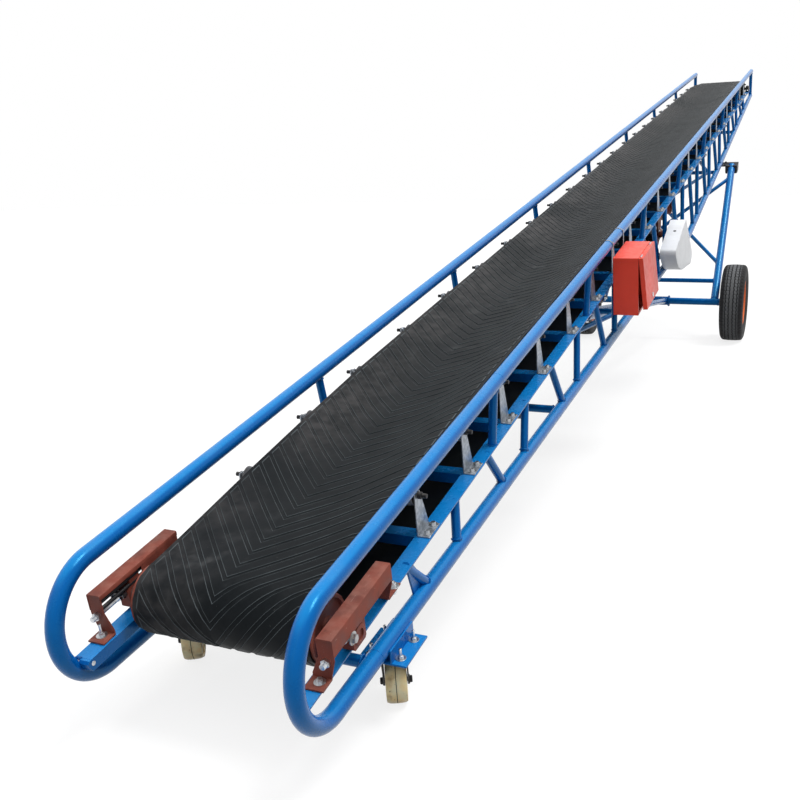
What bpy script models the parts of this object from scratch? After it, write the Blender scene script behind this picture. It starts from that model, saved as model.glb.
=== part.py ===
"""Mobile belt conveyor: a tubular truss with a troughed belt, on two road wheels and two casters.

Metres. +X runs toward the high discharge end, +Y to the left, +Z up, and the ground is z = 0.
Most pieces are laid out on the sloping bed: s runs up the slope from the centre of the tail
loop, y across it, and n square to it, measured from the top of the bed angles.
"""

from math import asin, atan2, cos, hypot, pi, radians, sin, sqrt, tan

import bmesh
import bpy
from mathutils import Matrix, Vector

# Slope and bed
INCLINE = radians(10.66)
BED_HEIGHT = 0.2715
FRAME_HALF = 0.335
HEAD_S = 11.76

# Side tubes: the hand rail with its tail loop, and the lower chord
TUBE_R = 0.024
LOOP_R = 0.160
LOOP_N = 0.065
JOINT_S = 0.215
BELLY_S = 6.10
BELLY_N = -0.465
NOSE_N = -0.070

# Lattice, rail posts and bottom bracing
LATTICE_R = 0.015
LATTICE_PITCH = 0.84
LATTICE_FIRST = 1.425
LATTICE_FOOT_HALF = 0.125
LATTICE_HEAD_HALF = 0.235
LATTICE_BAYS = 12
POST_BAYS = 3
POST_COUNT = 6
CROSS_R = 0.017

# Bed angles and the idler stations they carry
ANGLE = 0.050
ANGLE_T = 0.005
STATION_FIRST = 1.46
STATION_PITCH = 0.488
STATION_COUNT = 21
SECTION_COUNT = 4
TRANSITION = ((0.66, 0.50), (1.06, 0.80))
CROSS_CHANNEL_W = 0.045
CROSS_CHANNEL_H = 0.036
CROSS_CHANNEL_T = 0.004
BRACKET_T = 0.004
BRACKET_FOOT = 0.084
BRACKET_BACK = 0.032
BRACKET_TIP = 0.042
BRACKET_RISE = 0.012

# Belt and its drums
BELT_HALF = FRAME_HALF - 0.075
BELT_T = 0.008
TROUGH_FLAT = 0.100
TROUGH_ANGLE = radians(18.0)
DRUM_R = 0.088
DRUM_HALF = FRAME_HALF - 0.063
DRUM_N = 0.034
TAIL_DRUM_S = 0.125
HEAD_DRUM_S = 11.60
DRIVE_S = 5.02
DRIVE_N = -0.190
DRIVE_R = 0.090
BEND_R = 0.040
BEND_REACH = 0.200
SNUB_S = 5.608
SNUB_R = 0.062
ROLLER_R = 0.030
RETURN_S = (1.75, 3.25, 7.56, 9.32)
SHAFT_R = 0.015
BORE_R = 0.0164

# Drive
MOTOR_S = 4.875
MOTOR_N = -0.315
MOTOR_R = 0.078
MOTOR_LONG = 0.250
MOTOR_Y = 0.280 - FRAME_HALF
MOTOR_PULLEY_R = 0.045
PLATFORM_LONG = 0.190
PLATFORM_DROP = 0.016
PLATFORM_T = 0.006
DRUM_PULLEY_R = 0.058
GUARD_DEEP = 0.100
GUARD_T = 0.003
GUARD_FACE = ((4.985, -0.086), (5.014, -0.092), (5.338, -0.390), (5.326, -0.446), (5.285, -0.457),
              (4.800, -0.362), (4.690, -0.318), (4.590, -0.246), (4.545, -0.203), (4.552, -0.182))

# Control box on the right-hand side
BOX_S = 3.08
BOX_LONG = 0.340
BOX_DEEP = 0.125
BOX_TOP = 0.165
BOX_BOTTOM = -0.130
BOX_T = 0.003
STRAP_W = 0.012
DOOR_T = 0.022
DOOR_SHORT = 0.030
DOOR_AJAR = radians(5.0)

# Undercarriage
AXLE_RUN = 6.830
WHEEL_R = 0.325
WHEEL_W = 0.190
WHEEL_STEPS = 24
TRACK_HALF = 0.644
AXLE_R = 0.029
AXLE_HALF = TRACK_HALF - 0.132
STUB_R = 0.019
LEG_R = 0.033
LEG_FOOT_Y = AXLE_HALF - 0.030
LEG_TOP_Y = FRAME_HALF + 0.105
LEG_TOP_S = 8.40
CAP_W = 0.110
CAP_H = 0.075
CAP_LONG = 0.150
DRAWBAR_R = 0.022
DRAWBAR_Y = 0.070
TAIL_BRACE_S = (2.07, 3.70)
HEAD_BRACE_S = (6.10, 8.00, 9.70, 11.20)
TAIL_CROSS_S = 0.190

# Casters
CASTER_S = 0.32
CASTER_TURN = {"left": radians(30), "right": radians(25)}
CASTER_R = 0.062
CASTER_W = 0.048
CASTER_TRAIL = 0.028

# Colours of the parts, as linear RGB, with roughness and metallic
FINISHES = {
    "blue_paint": ((0.0, 0.142, 0.68), 0.35, 0.0),
    "red_oxide": ((0.30, 0.080, 0.055), 0.6, 0.0),
    "rubber": ((0.013, 0.015, 0.017), 0.75, 0.0),
    "steel": ((0.35, 0.36, 0.37), 0.4, 1.0),
    "black_steel": ((0.02, 0.02, 0.022), 0.5, 0.3),
    "orange_paint": ((0.60, 0.075, 0.030), 0.4, 0.0),
    "grey_sheet": ((0.72, 0.73, 0.74), 0.4, 0.1),
    "cream_nylon": ((0.80, 0.66, 0.38), 0.45, 0.0),
}

# Row frame: the origin is the middle of the object's length, on the ground
CHORD_TILT = atan2(NOSE_N - BELLY_N, HEAD_S - BELLY_S)
LOW_TILT = atan2(LOOP_N - LOOP_R - BELLY_N, BELLY_S)
TAIL_REACH = -LOOP_N * sin(INCLINE) - LOOP_R - TUBE_R
HEAD_REACH = (HEAD_S + TUBE_R * sin(CHORD_TILT)) * cos(INCLINE) - (
    NOSE_N - TUBE_R * cos(CHORD_TILT)
) * sin(INCLINE)
START_X = -(TAIL_REACH + HEAD_REACH) / 2

ALONG = Vector((cos(INCLINE), 0, sin(INCLINE)))
ACROSS = Vector((0, 1, 0))
SQUARE = Vector((-sin(INCLINE), 0, cos(INCLINE)))
START = Vector((START_X, 0, BED_HEIGHT))
GAP = 0.0004
BELT_CLEAR = 0.0015
SIDES = {"left": 1, "right": -1}

for old in list(bpy.data.objects):
    bpy.data.objects.remove(old)
PARTS = bpy.data.collections.new("belt_conveyor")
TOOLS = bpy.data.collections.new("joined_and_cut")
TOOLS.hide_render = True
bpy.context.scene.collection.children.link(PARTS)
bpy.context.scene.collection.children.link(TOOLS)


def at(s, y, n):
    """A point of the sloping bed in the row frame."""
    return START + ALONG * s + ACROSS * y + SQUARE * n


def axes(x, y, z, origin):
    """Matrix whose columns are the three given vectors and the origin."""
    return Matrix((x, y, z)).transposed().to_4x4() + Matrix.Translation(origin) - Matrix.Identity(4)


def mesh_of(bm):
    bmesh.ops.recalc_face_normals(bm, faces=bm.faces)
    mesh = bpy.data.meshes.new("shape")
    bm.to_mesh(mesh)
    bm.free()
    return mesh


def box(s, y, n, turn=None):
    """Block from three (low, high) pairs on the bed, or in the frame that turn gives."""
    bm = bmesh.new()
    bmesh.ops.create_cube(bm, size=1.0)
    size = Matrix.Diagonal((s[1] - s[0], y[1] - y[0], n[1] - n[0], 1))
    middle = Matrix.Translation(((s[0] + s[1]) / 2, (y[0] + y[1]) / 2, (n[0] + n[1]) / 2))
    bed = axes(ALONG, ACROSS, SQUARE, START) if turn is None else turn
    bmesh.ops.transform(bm, matrix=bed @ middle @ size, verts=bm.verts)
    return mesh_of(bm)


def bar(a, b, radius, sides=8, flat=False):
    """Round bar from a to b. flat cuts both ends parallel to the bed, as for a mitred post."""
    bm = bmesh.new()
    bmesh.ops.create_cone(
        bm, cap_ends=True, segments=sides, radius1=radius, radius2=radius, depth=1.0
    )
    run = b - a
    if flat:
        turn = axes(ALONG, ACROSS, run, (a + b) / 2)
    else:
        z = run.normalized()
        x = (ACROSS if abs(z.dot(ACROSS)) < 0.9 else ALONG).cross(z).normalized()
        turn = axes(x, z.cross(x), run, (a + b) / 2)
    bmesh.ops.transform(bm, matrix=turn, verts=bm.verts)
    return mesh_of(bm)


def pipe(points, radius, sides):
    """Round tube along a path, as a bevelled curve with filled caps."""
    curve = bpy.data.curves.new("path", "CURVE")
    curve.dimensions = "3D"
    curve.bevel_depth = radius
    curve.bevel_resolution = (sides - 4) // 2
    curve.use_fill_caps = True
    spline = curve.splines.new("POLY")
    spline.points.add(len(points) - 1)
    for place, point in zip(spline.points, points):
        place.co = (*point, 1)
    return from_curve(curve)


def plate(outline, low, high, turn=None):
    """Flat plate: an outline of (s, n) corners, between two distances across the bed."""
    curve = bpy.data.curves.new("outline", "CURVE")
    curve.dimensions = "2D"
    curve.fill_mode = "BOTH"
    curve.extrude = (high - low) / 2
    spline = curve.splines.new("POLY")
    spline.points.add(len(outline) - 1)
    for place, corner in zip(spline.points, outline):
        place.co = (*corner, 0, 1)
    spline.use_cyclic_u = True
    mesh = from_curve(curve)
    lift = Matrix.Translation((0, 0, -(low + high) / 2))
    bed = axes(ALONG, SQUARE, -ACROSS, START) if turn is None else turn
    mesh.transform(bed @ lift)
    return mesh


def from_curve(curve):
    holder = bpy.data.objects.new("curve", curve)
    mesh = bpy.data.meshes.new_from_object(holder)
    bpy.data.objects.remove(holder)
    bm = bmesh.new()
    bm.from_mesh(mesh)
    bmesh.ops.remove_doubles(bm, verts=bm.verts, dist=0.00005)
    return mesh_of(bm)


def turned(name, profile, steps, place):
    """Object turned about its Z: a profile of (radius, height) with a Screw modifier."""
    bm = bmesh.new()
    ring = list(zip(profile, [*profile[1:], profile[0]]))
    if sum(a[0] * b[1] - b[0] * a[1] for a, b in ring) > 0:
        profile = profile[::-1]
    points = [bm.verts.new((radius, 0, height)) for radius, height in profile]
    for a, b in zip(points, points[1:] + points[:1] * (profile[0][0] > 0)):
        bm.edges.new((a, b))
    mesh = bpy.data.meshes.new(name)
    bm.to_mesh(mesh)
    bm.free()
    piece = bpy.data.objects.new(name, mesh)
    screw = piece.modifiers.new("turn", "SCREW")
    screw.steps = screw.render_steps = steps
    screw.use_merge_vertices = True
    screw.merge_threshold = 0.00005
    piece.matrix_world = place
    return piece


def turned_mesh(profile, steps, place):
    """Mesh of a turned shape, for joining to others."""
    piece = turned("turning", profile, steps, Matrix.Identity(4))
    PARTS.objects.link(piece)
    graph = bpy.context.evaluated_depsgraph_get()
    mesh = bpy.data.meshes.new_from_object(piece.evaluated_get(graph))
    bpy.data.objects.remove(piece)
    mesh.transform(place)
    bm = bmesh.new()
    bm.from_mesh(mesh)
    bmesh.ops.remove_doubles(bm, verts=bm.verts, dist=0.00005)
    return mesh_of(bm)


def finish(piece, slot):
    """Gives a piece its material and puts it with the parts."""
    material = bpy.data.materials.get(slot)
    if material is None:
        colour, roughness, metallic = FINISHES[slot]
        material = bpy.data.materials.new(slot)
        material.use_nodes = True
        shader = material.node_tree.nodes["Principled BSDF"]
        shader.inputs["Base Color"].default_value = (*colour, 1)
        shader.inputs["Roughness"].default_value = roughness
        shader.inputs["Metallic"].default_value = metallic
    piece.data.materials.clear()
    piece.data.materials.append(material)
    PARTS.objects.link(piece)
    return piece


def joined(name, slot, meshes, cuts=(), origin=None):
    """One piece: the first mesh with the others joined to it, and the cuts taken out."""
    base = Matrix.Identity(4) if origin is None else origin
    back = base.inverted()
    for mesh in [*meshes, *cuts]:
        mesh.transform(back)
    piece = bpy.data.objects.new(name, meshes[0])
    piece.matrix_world = base
    for kind, group in (("UNION", meshes[1:]), ("DIFFERENCE", cuts)):
        if not group:
            continue
        tools = bpy.data.collections.new(f"{name}_{kind.lower()}")
        TOOLS.children.link(tools)
        for number, mesh in enumerate(group):
            tool = bpy.data.objects.new(f"{name}_{kind.lower()}_{number:03d}", mesh)
            tool.matrix_world = base
            tool.display_type = "WIRE"
            tool.hide_render = True
            tools.objects.link(tool)
        step = piece.modifiers.new(kind.lower(), "BOOLEAN")
        step.operation = kind
        step.solver = "EXACT"
        step.operand_type = "COLLECTION"
        step.collection = tools
    return finish(piece, slot)


def chord_n(s):
    """Height of the lower chord's axis on the bed."""
    if s < BELLY_S:
        return LOOP_N - LOOP_R - s * tan(LOW_TILT)
    return BELLY_N + (s - BELLY_S) * tan(CHORD_TILT)


def stations():
    """(s, share of the full trough) of every idler station, from the tail to the head."""
    rows = list(TRANSITION)
    rows += [(STATION_FIRST + STATION_PITCH * k, 1.0) for k in range(STATION_COUNT - 1)]
    rows.append((STATION_FIRST + STATION_PITCH * (STATION_COUNT - 1), 0.5))
    return rows


def hand_rail(side):
    """Hand rail with the tail loop, bent from one tube down to its joint."""
    y = SIDES[side] * FRAME_HALF
    loop = [
        at(LOOP_R * cos(a), y, LOOP_N + LOOP_R * sin(a))
        for a in (pi / 2 + pi * k / 12 for k in range(13))
    ]
    joint = at(JOINT_S - GAP, y, chord_n(JOINT_S))
    rail = pipe([at(HEAD_S, y, LOOP_N + LOOP_R), *loop, joint], TUBE_R, 12)
    joined(f"hand_rail_{side}", "blue_paint", [rail])


def rail_posts(side):
    """Posts from the bed angle to the hand rail, each between two idler stations."""
    sign = SIDES[side]
    top = LOOP_N + LOOP_R - TUBE_R - GAP
    rows = [(TRANSITION[-1][0] + STATION_FIRST) / 2]
    rows += [STATION_FIRST + STATION_PITCH * (2.5 + POST_BAYS * k) for k in range(POST_COUNT)]
    for number, s in enumerate(rows, 1):
        foot = at(s, sign * (FRAME_HALF - 0.019), GAP)
        post = bar(foot, at(s, sign * FRAME_HALF, top), LATTICE_R, 8, flat=True)
        joined(f"rail_post_{side}_{number}", "blue_paint", [post])


def lower_chord(side):
    """Lower chord from its joint to the head, with lattice members, gusset and end post."""
    sign = SIDES[side]
    y = sign * FRAME_HALF
    path = [at(JOINT_S + GAP, y, chord_n(JOINT_S)), at(BELLY_S, y, BELLY_N), at(HEAD_S, y, NOSE_N)]
    pieces = [pipe(path, TUBE_R, 12)]
    under = -ANGLE_T - GAP
    head_y = sign * (FRAME_HALF - 0.019)
    members = [(LATTICE_FIRST - 0.945, LATTICE_FIRST - 0.835), (0.88, 0.82)]
    for bay in range(LATTICE_BAYS):
        middle = LATTICE_FIRST + bay * LATTICE_PITCH
        for way in (-1, 1):
            members.append((middle + way * LATTICE_HEAD_HALF, middle + way * LATTICE_FOOT_HALF))
    for top, foot in members:
        low = at(foot, y, chord_n(foot))
        pieces.append(bar(low, at(top, head_y, under), LATTICE_R, 8, flat=True))
    end, rail = HEAD_S - TUBE_R, LOOP_N + LOOP_R - TUBE_R - GAP
    pieces.append(bar(at(end, y, NOSE_N), at(end, y, rail), TUBE_R * 0.8, 8, flat=True))
    gusset = ((0.470, under), (0.502, under), (0.600, chord_n(0.60)), (0.502, chord_n(0.502)))
    inner, outer = sorted((sign * (FRAME_HALF - 0.013), sign * (FRAME_HALF - 0.007)))
    pieces.append(plate(gusset, inner, outer))
    joined(f"lower_chord_{side}", "blue_paint", pieces)


def trough(share, y):
    """Rise of the belt's underside at y across, for a share of the full trough."""
    return max(0.0, abs(y) - TROUGH_FLAT) * tan(TROUGH_ANGLE * share)


def idler(s, share):
    """Meshes of one idler station: cross channel, brackets, inner stands and three rollers."""
    angle_in = FRAME_HALF - ANGLE
    seat = DRUM_N + DRUM_R - GAP
    w, h, t = CROSS_CHANNEL_W / 2, CROSS_CHANNEL_H, CROSS_CHANNEL_T
    top = -ANGLE_T - 0.001
    profile = ((-w, top - h), (-w, top), (w, top), (w, top - t), (t - w, top - t), (t - w, top - h))
    reach = angle_in + ANGLE_T / 2
    pieces = [plate([(s + a, n) for a, n in profile], -reach, reach)]
    low = seat - ROLLER_R
    pieces.append(
        bar(at(s, -TROUGH_FLAT, low), at(s, TROUGH_FLAT, low), ROLLER_R, 8)
    )
    lean = TROUGH_ANGLE * share
    for sign in (-1, 1):
        stand = sorted((sign * (TROUGH_FLAT - 0.002), sign * (TROUGH_FLAT + 0.003)))
        pieces.append(box((s - 0.018, s + 0.018), stand, (top - t / 2, low + 0.012)))
        web_y = FRAME_HALF - ANGLE + 0.007
        drop = ROLLER_R / cos(lean)
        inner = TROUGH_FLAT + 0.001 + ROLLER_R * sin(lean)
        outer = web_y + BRACKET_T / 2 - ROLLER_R * sin(lean)
        a = at(s, sign * inner, seat + trough(share, inner) - drop)
        b = at(s, sign * outer, seat + trough(share, outer) - drop)
        pieces.append(bar(a, b, ROLLER_R, 8))
        tip = seat + trough(share, web_y) - drop + BRACKET_RISE
        tail = s - BRACKET_BACK
        outline = ((tail, -0.001), (tail + BRACKET_FOOT, -0.001), (tail + BRACKET_FOOT, 0.012),
                   (tail + BRACKET_TIP, tip), (tail, tip))
        web = sorted((sign * web_y, sign * (web_y + BRACKET_T)))
        pieces.append(plate(outline, *web))
        foot = sorted((sign * (web_y + 0.001), sign * (FRAME_HALF - 0.003)))
        pieces.append(box((tail, tail + BRACKET_FOOT), foot, (-0.002, BRACKET_T)))
    return pieces


def bed_sections():
    """Bed angles in bolted lengths, each with the idler stations that it carries."""
    rows = stations()
    share = -(-len(rows) // SECTION_COUNT)
    groups = [rows[k : k + share] for k in range(0, len(rows), share)]
    inside = sqrt((LOOP_R - TUBE_R) ** 2 - (LOOP_N + ANGLE_T) ** 2)
    starts = [GAP * 4 - inside]
    for group in groups[1:]:
        starts.append(group[0][0] - STATION_PITCH / 2)
    ends = [start - 2 * GAP for start in starts[1:]] + [HEAD_S - 2.2 * TUBE_R]
    for number, (group, start, end) in enumerate(zip(groups, starts, ends), 1):
        pieces = []
        for sign in (-1, 1):
            wide = sorted((sign * (FRAME_HALF - ANGLE), sign * FRAME_HALF))
            leg = sorted((sign * (FRAME_HALF - ANGLE), sign * (FRAME_HALF - ANGLE + ANGLE_T)))
            pieces.append(box((start, end), wide, (-ANGLE_T, 0)))
            pieces.append(box((start, end), leg, (-ANGLE, -ANGLE_T / 2)))
        for s, part in group:
            pieces += idler(s, part)
        joined(f"bed_section_{number}", "blue_paint", pieces)


def arc(centre, radius, first, last, steps):
    """Points of an arc on the bed's side view, from one angle to another."""
    return [
        (
            centre[0] + radius * cos(first + (last - first) * k / steps),
            centre[1] + radius * sin(first + (last - first) * k / steps),
        )
        for k in range(steps + 1)
    ]


def belt_path():
    """Inner face of the closed belt as (s, n, share of trough), head drum, drive and tail."""
    top = DRUM_N + DRUM_R
    back = DRUM_N - DRUM_R
    rise = [(s, top, share) for s, share in stations()]
    path = rise
    path += [(s, n, 0.0) for s, n in arc((HEAD_DRUM_S, DRUM_N), DRUM_R, pi / 2, -pi / 2, 12)]
    bend = BEND_R + BELT_T
    drop = back - bend - DRIVE_N
    turn = atan2(drop, BEND_REACH) + asin((DRIVE_R + bend) / hypot(BEND_REACH, drop))
    head_bend = (DRIVE_S + BEND_REACH, back - bend)
    tail_bend = (DRIVE_S - BEND_REACH, back - bend)
    drive = (DRIVE_S, DRIVE_N)
    path += [(s, n, 0.0) for s, n in arc(head_bend, bend, pi / 2, pi / 2 + turn, 5)]
    path += [(s, n, 0.0) for s, n in arc(drive, DRIVE_R, turn - pi / 2, -pi / 2 - turn, 12)]
    path += [(s, n, 0.0) for s, n in arc(tail_bend, bend, pi / 2 - turn, pi / 2, 5)]
    path += [(s, n, 0.0) for s, n in arc((TAIL_DRUM_S, DRUM_N), DRUM_R, -pi / 2, -3 * pi / 2, 12)]
    return path


def belt():
    """Closed belt with a troughed carrying strand, lofted from section to section."""
    path = belt_path()
    bm = bmesh.new()
    rings = []
    for k, (s, n, share) in enumerate(path):
        before, after = path[k - 1], path[(k + 1) % len(path)]
        one = Vector((s - before[0], n - before[1])).normalized()
        two = Vector((after[0] - s, after[1] - n)).normalized()
        along = (one + two).normalized()
        stretch = 1 / max(0.5, along.dot(two))
        out = Vector((-along.y, along.x)) * stretch
        lean = TROUGH_ANGLE * share
        ring = []
        for y, thick in ((-1, 0), (-0.4, 0), (0.4, 0), (1, 0), (1, 1), (0.4, 1), (-0.4, 1), (-1, 1)):
            flat = abs(y) < 0.5
            across = (TROUGH_FLAT if flat else BELT_HALF) * (1 if y > 0 else -1)
            rise = trough(share, across) + thick * BELT_T / cos(lean if not flat else 0)
            ring.append(bm.verts.new(at(s + out.x * rise, across, n + out.y * rise)))
        rings.append(ring)
    for k, ring in enumerate(rings):
        following = rings[(k + 1) % len(rings)]
        for j in range(8):
            bm.faces.new((ring[j], ring[(j + 1) % 8], following[(j + 1) % 8], following[j]))
    finish(bpy.data.objects.new("belt", mesh_of(bm)), "rubber")


def drum(name, s, n, radius, half, shaft_half, slot, sides=20):
    """Drum with its shaft, turned about the cross axis."""
    place = axes(ALONG, -SQUARE, ACROSS, at(s, 0, n))
    lip = radius * 0.2
    profile = (
        (0, -shaft_half), (SHAFT_R, -shaft_half), (SHAFT_R, lip - half), (radius - 0.012, lip - half),
        (radius - 0.012, -half), (radius, -half), (radius, half), (radius - 0.012, half),
        (radius - 0.012, half - lip), (SHAFT_R, half - lip), (SHAFT_R, shaft_half), (0, shaft_half),
    )
    finish(turned(name, profile, sides, place), slot)


def hung_plates(s, n, width, inner):
    """Two plates that hang inside the bed angles, each round below for a bearing at (s, n)."""
    low, high = inner, FRAME_HALF - ANGLE - GAP
    outline = [(s - width, -0.008), (s - 0.046, n), *arc((s, n), 0.046, -5 * pi / 6, -pi / 6, 4)]
    outline += [(s + 0.046, n), (s + width, -0.008)]
    return [plate(outline, *sorted((sign * low, sign * high))) for sign in (-1, 1)]


def drive_drum():
    """Drive drum with its hung plates and hubs, and its shaft out to the pulley in the guard."""
    inner = FRAME_HALF - ANGLE - 0.007
    out = FRAME_HALF + TUBE_R + GAP
    across = [(0.006 - inner, inner - 0.006, DRIVE_R - BELT_CLEAR, 20)]
    across += [(-inner - 0.004, inner + 0.022, 0.034, 12), (-out - 0.031, -inner, SHAFT_R, 12)]
    across += [(-out - 0.070, -out - 0.030, DRUM_PULLEY_R, 16), (-inner - 0.022, -inner, 0.0336, 12)]
    pieces = hung_plates(DRIVE_S, DRIVE_N, 0.100, inner)
    for low, high, radius, sides in across:
        pieces.append(bar(at(DRIVE_S, low, DRIVE_N), at(DRIVE_S, high, DRIVE_N), radius, sides))
    joined("drive_drum", "red_oxide", pieces)


def return_rollers():
    """Rollers under the slack strand, each with the two straps that hang it from the bed."""
    n = DRUM_N - DRUM_R - BELT_T - GAP - ROLLER_R
    inner = FRAME_HALF - ANGLE - 0.007
    outer = FRAME_HALF - ANGLE - GAP
    for number, s in enumerate(RETURN_S, 1):
        pieces = [bar(at(s, 0.005 - inner, n), at(s, inner - 0.005, n), ROLLER_R, 12)]
        pieces.append(bar(at(s, -inner - 0.002, n), at(s, inner + 0.002, n), 0.009, 8))
        for sign in (-1, 1):
            strap = sorted((sign * inner, sign * outer))
            outline = ((s - 0.02, n - 0.02), (s + 0.02, n - 0.02), (s + 0.02, -0.008), (s - 0.02, -0.008))
            pieces.append(plate(outline, *strap))
        joined(f"return_roller_{number}", "steel", pieces)


def bend_rollers():
    """Two rollers that turn the slack strand down to the drive drum, hung like the others."""
    n = DRUM_N - DRUM_R - BELT_T - BEND_R - GAP
    inner = FRAME_HALF - ANGLE - 0.007
    outer = FRAME_HALF - ANGLE - GAP
    for name, way in (("tail", -1), ("head", 1)):
        s = DRIVE_S + way * BEND_REACH
        n_here = n - GAP
        pieces = [bar(at(s, 0.005 - inner, n_here), at(s, inner - 0.005, n_here), BEND_R - BELT_CLEAR, 12)]
        pieces.append(bar(at(s, -inner - 0.002, n_here), at(s, inner + 0.002, n_here), 0.012, 8))
        for sign in (-1, 1):
            strap = sorted((sign * inner, sign * outer))
            outline = ((s - 0.025, n_here - 0.025), (s + 0.025, n_here - 0.025), (s + 0.025, -0.008),
                       (s - 0.025, -0.008))
            pieces.append(plate(outline, *strap))
        joined(f"bend_roller_{name}", "steel", pieces)


def snub_drum():
    """Snub drum under the slack strand, between two hung plates with bearing hubs."""
    n = DRUM_N - DRUM_R - BELT_T - 2 * GAP - SNUB_R
    inner = FRAME_HALF - ANGLE - 0.007
    pieces = hung_plates(SNUB_S, n, 0.070, inner)
    for reach, radius, sides in ((inner - 0.006, SNUB_R, 16), (inner + 0.022, 0.034, 12)):
        pieces.append(bar(at(SNUB_S, -reach, n), at(SNUB_S, reach, n), radius, sides))
    joined("snub_drum", "red_oxide", pieces)


def take_up(side):
    """Tail drum's take-up: a bent channel bolted to the bed, with its bearing block and screw."""
    sign = SIDES[side]
    inner, outer, foot_in, foot_out = 0.312, 0.356, 0.290, 0.342
    low, high = sorted((sign * inner, sign * outer))
    roof, skirt, wall = 0.115, 0.066, 0.004
    first, last = TAIL_DRUM_S - 0.140, TAIL_DRUM_S + 0.195
    across = axes(ACROSS, SQUARE, ALONG, START)
    channel = ((low, skirt), (low, roof), (high, roof), (high, skirt), (high - wall, skirt),
               (high - wall, roof - wall), (low + wall, roof - wall), (low + wall, skirt))
    pieces = [plate(channel, -last, -first, across)]
    top, bottom, lap = roof - 0.0015, GAP + 0.002, 0.001
    end = [(sign * (outer - lap), top), (sign * (inner + lap), top)]
    end += [(sign * (foot_in + lap), bottom), (sign * (foot_out - lap), bottom)]
    for s, foot in ((first + lap, first - 0.044), (last - wall - lap, last + 0.072)):
        pieces.append(plate(end, -s - wall, -s, across))
        lie = sorted((foot, s + wall / 2))
        pieces.append(box(lie, sorted((sign * foot_in, sign * foot_out)), (GAP, GAP + 0.005)))
    block_s = (TAIL_DRUM_S - 0.034, TAIL_DRUM_S + 0.034)
    pieces.append(box(block_s, (low + 0.006, high - 0.006), (0.004, roof - wall / 2)))
    middle = (low + high) / 2
    tip = TAIL_DRUM_S - 0.024
    pieces.append(bar(at(first - 0.020, middle, 0.053), at(tip, middle, 0.053), 0.008, 8))
    bore = bar(at(TAIL_DRUM_S, low - 0.02, DRUM_N), at(TAIL_DRUM_S, high + 0.02, DRUM_N),
               BORE_R, 12)
    joined(f"take_up_{side}", "red_oxide", pieces, [bore])


def head_bearing(side):
    """Pillow block that carries the head drum's shaft on the bed angle."""
    sign = SIDES[side]
    low, high = sorted((sign * (FRAME_HALF - 0.044), sign * (FRAME_HALF - 0.006)))
    outline = [(-0.062, GAP), (0.062, GAP), (0.062, 0.014), (0.034, 0.018)]
    outline += [(0.034 * cos(a), DRUM_N + 0.034 * sin(a)) for a in (0, pi / 4, pi / 2, 3 * pi / 4, pi)]
    outline += [(-0.034, 0.018), (-0.062, 0.014)]
    block = plate([(HEAD_DRUM_S + a, n) for a, n in outline], low, high)
    bore = bar(at(HEAD_DRUM_S, low - 0.02, DRUM_N), at(HEAD_DRUM_S, high + 0.02, DRUM_N),
               BORE_R, 12)
    joined(f"head_bearing_{side}", "black_steel", [block], [bore])


def bracing():
    """Cross tubes between the lower chords, and the diagonals that tie them together."""
    reach = FRAME_HALF - TUBE_R - GAP
    for name, rows in (("tail", TAIL_BRACE_S), ("head", HEAD_BRACE_S)):
        pieces = []
        for k, s in enumerate(rows):
            n = chord_n(s)
            pieces.append(bar(at(s, -reach, n), at(s, reach, n), CROSS_R, 8))
            if k:
                side = 1 if k % 2 else -1
                a = at(rows[k - 1] + 0.002, side * (reach - 0.05), chord_n(rows[k - 1]))
                b = at(s - 0.002, -side * (reach - 0.05), n)
                pieces.append(bar(a, b, CROSS_R * 0.86, 8))
        joined(f"bottom_bracing_{name}", "blue_paint", pieces)
    n = chord_n(TAIL_CROSS_S)
    joined("tail_cross_tube", "blue_paint",
           [bar(at(TAIL_CROSS_S, -reach, n), at(TAIL_CROSS_S, reach, n), CROSS_R, 8)])


def motor():
    """Motor on its platform between the lower chords, with its pulley in the guard."""
    deck = chord_axes(MOTOR_S, 0, -LOW_TILT)
    half = PLATFORM_LONG / 2
    low, top = -PLATFORM_DROP - PLATFORM_T, -PLATFORM_DROP
    reach = FRAME_HALF - 0.97 * sqrt(TUBE_R**2 - PLATFORM_DROP**2)
    sheets = [box((-half, half), (-reach, reach), (low, top), deck)]
    for way in (-1, 1):
        lip = sorted((way * half, way * (half - PLATFORM_T)))
        sheets.append(box(lip, (0.012 - reach, reach - 0.012), (low - 0.030, low + 0.001), deck))
    joined("motor_platform", "blue_paint", sheets)
    place = axes(ALONG, SQUARE, -ACROSS, at(MOTOR_S, MOTOR_Y, MOTOR_N))
    r, long = MOTOR_R, MOTOR_LONG
    guard_in = FRAME_HALF + TUBE_R + GAP + MOTOR_Y
    profile = (
        (0, 0), (r * 0.86, 0), (r * 0.94, 0.012), (r * 0.94, 0.055), (r * 0.9, 0.06), (r, 0.066),
        (r, long - 0.030), (r * 0.8, long - 0.012), (r * 0.35, long), (0.014, long),
        (0.014, guard_in + 0.030), (MOTOR_PULLEY_R, guard_in + 0.030),
        (MOTOR_PULLEY_R, guard_in + 0.070), (0, guard_in + 0.070),
    )
    foot = top + GAP
    rise = MOTOR_N - chord_n(MOTOR_S)
    wide = (MOTOR_Y - long + 0.06, MOTOR_Y - 0.075)
    pieces = [turned_mesh(profile, 20, place)]
    pieces.append(box((-0.075, 0.075), wide, (foot, foot + 0.012), deck))
    saddle = (wide[0] + 0.01, wide[1] - 0.01)
    pieces.append(box((-0.045, 0.045), saddle, (foot + 0.001, rise - r * 0.6), deck))
    terminals = (MOTOR_N + r * 0.8, MOTOR_N + r + 0.028)
    pieces.append(box((MOTOR_S - 0.042, MOTOR_S + 0.042), (wide[0] + 0.03, wide[1]), terminals))
    joined("drive_motor", "black_steel", pieces)


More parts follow.
